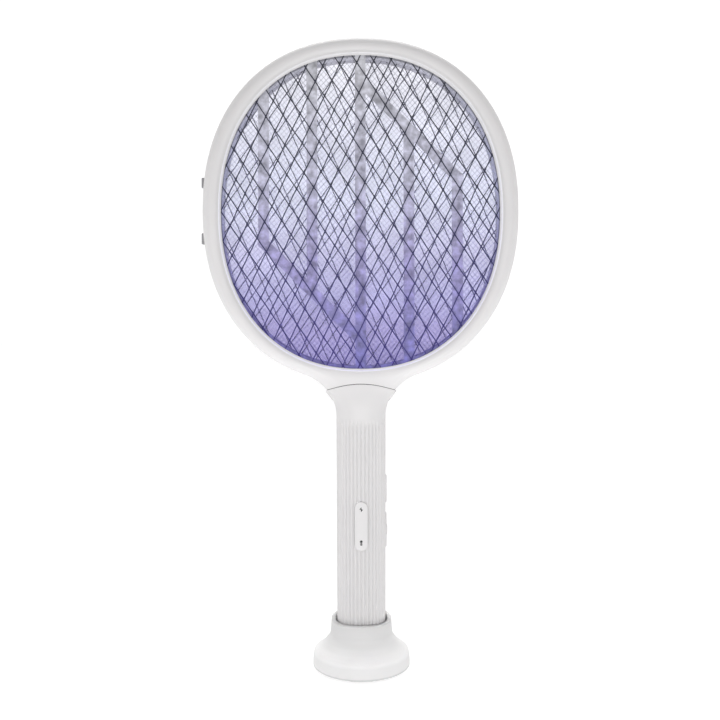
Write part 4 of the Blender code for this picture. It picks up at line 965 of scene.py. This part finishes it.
def makeScreen():
    # the thin screen with the painted violet glow lies just behind the middle net
    count = film["count"]
    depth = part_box("high_voltage_net")[1][1] + film["behindNet"]
    outline = [ringOutline(np.array(2 * math.pi * k / count), film["inset"]) for k in range(count)]
    mesh = slab("violetGlowScreen", [outline], depth, depth + film["thickness"])
    screen = addObject("violetGlowScreen", mesh, "racket", finishes["screen"])
    print("screen ready")


# foot
foot = {"collarGap": 0.9 * mm, "collarWall": 3.2 * mm, "waistStep": 1.0 * mm, "clearance": 0.3 * mm,
        "columns": 128, "smoothing": (0.2, 0.4, 0.6, 0.8, 1.0), "flatter": 0.012, "flatFrom": 25 * mm}


def makeStand():
    outerX = standHigh[0]
    collarTop = standHigh[2]
    gripX = float(gripWidth(np.array(collarTop)))
    innerX = gripX + foot["collarGap"]
    rimX = innerX + foot["collarWall"]
    waist = rimX + foot["waistStep"]
    flare = outerX - waist
    power = grip["power"]
    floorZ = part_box("handle_end_cap")[0][2] - foot["clearance"]
    edgeZ = standLow[2]
    # half width, squareness and height, up the inside, over the rim and down to the edge of the foot
    outline = [
        (innerX - 2.0 * mm, power, floorZ), (innerX - 0.3 * mm, power, floorZ + 1.2 * mm),
        (innerX - 0.1 * mm, power, 0.5 * (floorZ + collarTop)), (innerX, power, collarTop - 1.3 * mm),
        (innerX + 0.12 * mm, power, collarTop - 0.7 * mm), (innerX + 0.5 * mm, power, collarTop - 0.18 * mm),
        (innerX + 1.2 * mm, power, collarTop), (rimX - 0.75 * mm, power, collarTop - 0.12 * mm),
        (rimX - 0.2 * mm, power, collarTop - 0.6 * mm), (rimX, power, collarTop - 1.5 * mm),
        (rimX + 0.45 * mm, power - 0.1, 26.0 * mm), (waist, power - 0.3, 21.8 * mm),
        (waist + 0.13 * flare, 2.2, 19.2 * mm), (waist + 0.32 * flare, 2.1, 16.8 * mm),
        (waist + 0.50 * flare, 2.0, 14.8 * mm), (waist + 0.73 * flare, 2.0, 12.9 * mm),
        (waist + 0.91 * flare, 2.0, 11.2 * mm), (outerX - 0.4 * mm, 2.0, 8.8 * mm),
        (outerX - 0.05 * mm, 2.0, 5.0 * mm), (outerX, 2.0, edgeZ + 0.7 * mm),
        (outerX - 0.12 * mm, 2.0, edgeZ + 0.2 * mm), (outerX - 0.5 * mm, 2.0, edgeZ)]
    points = np.array(outline)
    fine = [points[0]]
    for k in range(len(points) - 1):     # smooth curve through the outline's points
        a, b = points[k], points[k + 1]
        before = points[max(k - 1, 0)]
        after = points[min(k + 2, len(points) - 1)]
        for t in foot["smoothing"]:
            fine.append(0.5 * ((2 * a) + (b - before) * t + (2 * before - 5 * a + 4 * b - after) * t ** 2
                               + (3 * a - before - 3 * b + after) * t ** 3))
    angle = np.linspace(0, 2 * math.pi, foot["columns"], endpoint=False)

    def ringAt(half, squareness, z):
        depth = half * (1 - foot["flatter"]) if z > edgeZ + foot["flatFrom"] else half
        return np.stack([half * sgnPow(np.cos(angle), 2 / squareness),
                         depth * sgnPow(np.sin(angle), 2 / squareness), np.full(len(angle), z)], 1)

    rows = [ringAt(min(half, outerX), squareness, max(z, edgeZ)) for half, squareness, z in fine]
    under = [(outerX - 2.0 * mm, 2.0, edgeZ), (outerX - 2.0 * mm, 2.0, 8.0 * mm),
             (waist + 0.70 * flare, 2.0, 10.6 * mm), (waist + 0.36 * flare, 2.0, 13.4 * mm),
             (waist + 0.06 * flare, 2.1, 16.6 * mm),
             (waist - 1.2 * mm, 2.3, 17.8 * mm), (innerX + 1.7 * mm, power, 18.0 * mm),
             (innerX + 1.3 * mm, power, floorZ - 1.8 * mm)]
    rows += [ringAt(*ring) for ring in under]
    mesh = sheetMesh("footShell", np.array(rows), closeRows=True)
    bm = bmesh.new()
    bm.from_mesh(mesh)
    bm.verts.ensure_lookup_table()
    count = len(angle)
    bm.faces.new(bm.verts[:count])
    bm.faces.new(bm.verts[-count:])
    bmesh.ops.recalc_face_normals(bm, faces=bm.faces)
    bm.to_mesh(mesh)
    bm.free()
    shell = addObject("footShell", mesh, "stand", finishes["stand"])
    shadeSmooth(shell, 50)
    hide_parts("stand_shell")
    print("foot ready")


# buttons, switch and marks
controls = {"topInset": 0.16 * mm, "slotTravel": 3.5 * mm, "slotGap": 0.25 * mm, "grooveHalf": 3.0 * mm,
            "grooveWidth": 0.26 * mm, "grooveDepth": 0.35 * mm, "groovePitch": 1.2 * mm}


def sideMeasures(node):
    # inner face, outer face, half sizes across and along, and height of a piece on the grip's side
    low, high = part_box(node)
    return low[0], high[0], (high[1] - low[1]) / 2, (high[2] - low[2]) / 2, middle(node).z


def sideSolid(name, halfLength, halfWidth, levels, z):
    return capsuleSolid(name, halfLength, halfWidth, levels, (0, 0, z), (0, 1, 0), (0, 0, 1), (1, 0, 0))


def makeLongButton():
    low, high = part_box("zap_button")
    centre = middle("zap_button")
    top = -low[1]
    levels = [(-0.0, top - 3.6 * mm), (0.0, top - 0.55 * mm), (0.08 * mm, top - 0.32 * mm),
              (0.25 * mm, top - 0.14 * mm), (0.55 * mm, top - 0.03 * mm), (0.95 * mm, top),
              (1.3 * mm, top - 0.10 * mm), (1.7 * mm, top - controls["topInset"])]
    mesh = capsuleSolid("longButton", (high[2] - low[2]) / 2, (high[0] - low[0]) / 2, levels,
                        (centre.x, 0, centre.z), (1, 0, 0), (0, 0, 1), (0, -1, 0))
    button = addObject("longButton", mesh, "zap_button", finishes["button"])
    shadeSmooth(button, 50)
    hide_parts("zap_button")
    makeMarks(-(top - controls["topInset"]))


def makeSideButton():
    inner, outer, across, along, height = sideMeasures("side_button")
    levels = [(0.0, inner), (0.0, outer - 0.6 * mm), (0.12 * mm, outer - 0.3 * mm),
              (0.4 * mm, outer - 0.1 * mm), (0.9 * mm, outer - 0.02 * mm), (1.6 * mm, outer)]
    mesh = sideSolid("sideButton", along, across, levels, height)
    side = addObject("sideButton", mesh, "side_button", finishes["button"])
    shadeSmooth(side, 50)
    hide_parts("side_button")


def makeSwitch():
    inner, outer, across, along, height = sideMeasures("mode_switch_bezel")
    knobInner, knobOuter, knobAcross, knobAlong, knobHeight = sideMeasures("mode_switch_knob")
    levels = [(0.0, inner), (0.0, outer - 0.55 * mm), (0.10 * mm, outer - 0.25 * mm),
              (0.35 * mm, outer - 0.07 * mm), (0.8 * mm, outer)]
    bezel = addObject("switchBezel", sideSolid("switchBezel", along, across, levels, height),
                      None, finishes["shell"])
    cut(bezel, [sideSolid("slot", knobAlong + controls["slotTravel"], knobAcross + controls["slotGap"],
                          [(0, inner - 1 * mm), (0, outer + 1 * mm)], height)])
    shadeSmooth(bezel, 50)
    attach(bezel, "racket")
    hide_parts("mode_switch_bezel")
    levels = [(0.0, knobInner), (0.0, knobOuter - 0.4 * mm), (0.12 * mm, knobOuter - 0.12 * mm),
              (0.4 * mm, knobOuter)]
    knob = addObject("switchKnob", sideSolid("switchKnob", knobAlong, knobAcross, levels, knobHeight),
                     None, finishes["shell"])
    through = [(0, knobOuter - controls["grooveDepth"]), (0, knobOuter + 1 * mm)]
    grooves = []
    for step in (-1.5, -0.5, 0.5, 1.5):
        place = (0, 0, knobHeight + step * controls["groovePitch"])
        grooves.append(capsuleSolid("groove", controls["grooveHalf"], controls["grooveWidth"], through, place,
                                    (0, 0, 1), (0, 1, 0), (1, 0, 0)))
    cut(knob, grooves)
    shadeSmooth(knob, 40)
    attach(knob, "mode_knob")
    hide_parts("mode_switch_knob")


def makeControls():
    makeLongButton()
    makeSideButton()
    makeSwitch()
    print("controls ready")


def flatMark(name, shapes, y, body, node):
    # thin printed shapes standing a hair proud of the button
    mesh = slab(name, shapes, y + 0.2 * mm, y - 0.03 * mm)
    mark = addObject(name, mesh, body, finishes["mark"])
    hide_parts(node)


def makeMarks(faceY):
    bolt = [(0.1, 1.7), (-1.25, 0.05), (-0.25, 0.0), (-0.1, -1.7), (1.25, -0.1), (0.3, 0.15)]
    centre = middle("bolt_window")
    flatMark("boltMark", [[(centre.x + x * mm, centre.z + z * mm) for x, z in bolt]], faceY, "zap_button",
             "bolt_window")
    centre = middle("lamp_window")
    turns = [math.radians(a) for a in range(-50, 231, 20)]
    bulb = [(0.95 * math.cos(turn), 0.85 + 0.95 * math.sin(turn)) for turn in turns]
    base = [(-0.62, -0.15), (0.62, -0.15), (0.8, -0.75), (-0.8, -0.75)]
    foot = [(-0.85, -0.95), (0.85, -0.95), (0.6, -1.75), (-0.6, -1.75)]
    flatMark("lampMark", [[(centre.x + x * mm, centre.z + z * mm) for x, z in shape]
                          for shape in (bulb, base, foot)], faceY, "zap_button", "lamp_window")


# screws
def screwTree():
    tree, add, values, target = newTree("screwHeads", {
        "Head Radius": "NodeSocketFloat", "Length": "NodeSocketFloat", "Turn": "NodeSocketVector",
        "Material": "NodeSocketMaterial"})
    cap = add("GeometryNodeMeshCylinder", {"Vertices": 24, "Radius": values["Head Radius"],
                                           "Depth": 1.3 * mm})
    core = mathNode(add, "MULTIPLY", values["Head Radius"], 0.5)
    shank = add("GeometryNodeMeshCylinder", {"Vertices": 12, "Radius": core, "Depth": values["Length"]})
    lower = add("ShaderNodeCombineXYZ", {"Z": mathNode(add, "MULTIPLY", values["Length"], -0.5)})
    shankPlaced = add("GeometryNodeTransform", {"Geometry": shank.outputs["Mesh"],
                                                "Translation": lower.outputs["Vector"]})
    blades = add("GeometryNodeJoinGeometry")
    for size in ((0.5 * mm, 2.6 * mm, 1.2 * mm), (2.6 * mm, 0.5 * mm, 1.2 * mm)):
        blade = add("GeometryNodeMeshCube", {"Size": size})
        raised = add("GeometryNodeTransform", {"Geometry": blade.outputs["Mesh"],
                                               "Translation": (0, 0, 0.7 * mm)})
        tree.links.new(raised.outputs["Geometry"], blades.inputs["Geometry"])
    cutNode = add("GeometryNodeMeshBoolean", {"Mesh 1": cap.outputs["Mesh"]}, operation="DIFFERENCE")
    tree.links.new(blades.outputs["Geometry"], cutNode.inputs["Mesh 2"])
    whole = add("GeometryNodeJoinGeometry")
    tree.links.new(cutNode.outputs["Mesh"], whole.inputs["Geometry"])
    tree.links.new(shankPlaced.outputs["Geometry"], whole.inputs["Geometry"])
    turned = add("GeometryNodeTransform", {"Geometry": whole.outputs["Geometry"],
                                           "Rotation": values["Turn"]})
    copies = add("GeometryNodeInstanceOnPoints", {"Points": values["Geometry"],
                                                  "Instance": turned.outputs["Geometry"]})
    closeTree(tree, add, copies.outputs["Instances"], values["Material"], target)
    return tree


def makeScrews():
    tree = screwTree()
    groups = {
        "racketScrews": {"nodes": [f"frame_screw_{k}" for k in range(1, 7)] 
                                  + ["handle_screw_1", "handle_screw_2"],
                         "body": "racket", "turn": (-math.pi / 2, 0, 0), "side": (1, 1), "length": 9 * mm},
        "footScrews": {"nodes": [f"stand_screw_{k}" for k in range(1, 4)], "body": "stand",
                       "turn": (math.pi, 0, 0), "side": (2, 0), "length": 2.2 * mm},
    }
    for name, group in groups.items():
        spots = []
        for node in group["nodes"]:
            low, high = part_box(node)
            spot = [(l + h) / 2 for l, h in zip(low, high)]
            axis, end = group["side"]
            spot[axis] = (high if end else low)[axis] - (0.65 * mm if end else -0.65 * mm)
            spots.append(tuple(spot))
        mesh = bpy.data.meshes.new(name)
        mesh.from_pydata(spots, [], [])
        piece = addObject(name, mesh)
        runTree(piece, tree, {"Head Radius": 2.15 * mm, "Length": group["length"], "Turn": group["turn"],
                              "Material": finishes["steel"]})
        shadeSmooth(piece, 35)
        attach(piece, group["body"])
        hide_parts(*group["nodes"])
    print("screws ready")


# pieces kept from the frame
keptFinishes = {
    "stand_base_plate": "stand", "foot_pad": "rubber", "stand_weight": "steel", "handle_end_cap": "shell",
    "support_lattice": "lattice", "front_spacer_ring": "cavity", "rear_spacer_ring": "litRing",
    "light_board": "board", "light_diffuser": "lens",
    "head_latch_upper": "latch", "head_latch_lower": "latch",
    "zap_tact_switch": "dark", "side_tact_switch": "dark", "mode_switch_body": "steel",
    "main_board": "board", "charge_board": "board", "charge_socket": "steel",
    "transformer": "tape", "high_voltage_capacitor": "tape", "controller_chip": "chip",
    "battery_cell": "wrap", "battery_cradle": "dark",
    "battery_contact_plus": "steel", "battery_contact_minus": "steel",
    "lead_positive": "leadRed", "lead_negative": "leadBlack",
    **{f"light_lamp_{k}": "lens" for k in range(1, 4)},
    **{f"rectifier_diode_{k}": "chip" for k in range(1, 4)},
}


def dressKept():
    for node, finish in keptFinishes.items():
        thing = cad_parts[node]
        thing.data.materials.clear()
        thing.data.materials.append(finishes[finish])


# floor, light and camera
studio = {"floorHalf": 6.0, "floorShade": 0.38, "floorGlow": 0.72,
          "ahead": 0.30, "around": 1.10, "above": 0.72}
lights = {
    "softTop": {"place": (0.0, 0.45, 1.3), "size": 0.8, "power": 5.0, "spread": 180, "aimZ": 0.22},
    "lowFront": {"place": (0.0, -0.78, 0.14), "size": 0.3, "power": 1.8, "spread": 180, "aimZ": 0.22},
    "softLeft": {"place": (-1.2, -0.5, 0.7), "size": 0.9, "power": 0.4, "spread": 180, "aimZ": 0.22},
    "footLight": {"place": (0.0, -0.5, 1.5), "size": 0.12, "power": 0.015, "spread": 10, "aimZ": 0.0},
}


def makeFloor():
    mesh = bpy.data.meshes.new("floor")
    size = studio["floorHalf"]
    mesh.from_pydata([(-size, -size, 0), (size, -size, 0), (size, size, 0), (-size, size, 0)], [],
                     [(0, 1, 2, 3)])
    floor = addObject("floor", mesh)
    material, tree, add, shader, place = newMaterial("paleFloor")
    noise = cloud(add, place, 3.0, 2.0)
    ramp = add("ShaderNodeValToRGB", {"Fac": noise.outputs["Fac"]})
    shade = studio["floorShade"]
    ramp.color_ramp.elements[0].color = (shade * 0.99, shade * 0.99, shade * 0.99, 1)
    ramp.color_ramp.elements[1].color = (shade, shade, shade, 1)
    tree.links.new(ramp.outputs["Color"], shader.inputs["Base Color"])
    shader.inputs["Roughness"].default_value = 0.9
    shader.inputs["Specular IOR Level"].default_value = 0.1
    shader.inputs["Emission Color"].default_value = (1, 1, 1, 1)
    shader.inputs["Emission Strength"].default_value = studio["floorGlow"]
    mesh.materials.append(material)


def makeWorld():
    world = bpy.data.worlds.new("studio")
    bpy.context.scene.world = world
    world.use_nodes = True
    tree = world.node_tree
    tree.nodes.clear()
    add = nodeBuilder(tree)
    split = add("ShaderNodeSeparateXYZ", {"Vector": add("ShaderNodeTexCoord").outputs["Generated"]})
    strength = remap(add, split.outputs["Y"], (-0.9, 0.15), (studio["ahead"], studio["around"]))
    above = remap(add, split.outputs["Z"], (0.15, 0.9), (1.0, studio["above"]))
    level = mathNode(add, "MULTIPLY", strength.outputs["Result"], above.outputs["Result"])
    # the backdrop itself is seen evenly pale; only the light it gives varies
    seen = add("ShaderNodeLightPath").outputs["Is Camera Ray"]
    even = remap(add, seen, (0.0, 1.0), (level, studio["around"]))
    background = add("ShaderNodeBackground", {"Color": (1, 1, 1, 1), "Strength": even.outputs["Result"]})
    out = add("ShaderNodeOutputWorld")
    tree.links.new(background.outputs["Background"], out.inputs["Surface"])


def makeLights():
    for name, values in lights.items():
        light = bpy.data.lights.new(name, "AREA")
        light.size = values["size"]
        light.energy = values["power"]
        light.spread = math.radians(values["spread"])
        lamp = bpy.data.objects.new(name, light)
        lamp.location = values["place"]
        aim = Vector((0, 0, values["aimZ"]))
        lamp.rotation_euler = (aim - Vector(values["place"])).to_track_quat("-Z", "Y").to_euler()
        bpy.context.scene.collection.objects.link(lamp)


def makeStudio():
    makeFloor()
    makeWorld()
    makeLights()
    print("studio ready")


view = {"lens": 45.43, "sensor": 36.0, "shiftY": -0.08, "place": (-0.0005, -0.6402, 0.25),
        "pitch": 90.37, "roll": 0.13}


def makeCamera():
    data = bpy.data.cameras.new("camera")
    data.lens = view["lens"]
    data.sensor_width = view["sensor"]
    data.shift_y = view["shiftY"]
    camera = bpy.data.objects.new("camera", data)
    camera.location = view["place"]
    camera.rotation_euler = (math.radians(view["pitch"]), math.radians(view["roll"]), 0)
    bpy.context.scene.collection.objects.link(camera)
    bpy.context.scene.camera = camera
    bpy.context.scene.view_settings.view_transform = "Standard"


makeHead()
makeSeamShadeStrip()
makeGrip()
makeNets()
makeScreen()
makeStand()
makeControls()
makeScrews()
dressKept()
makeStudio()
makeCamera()
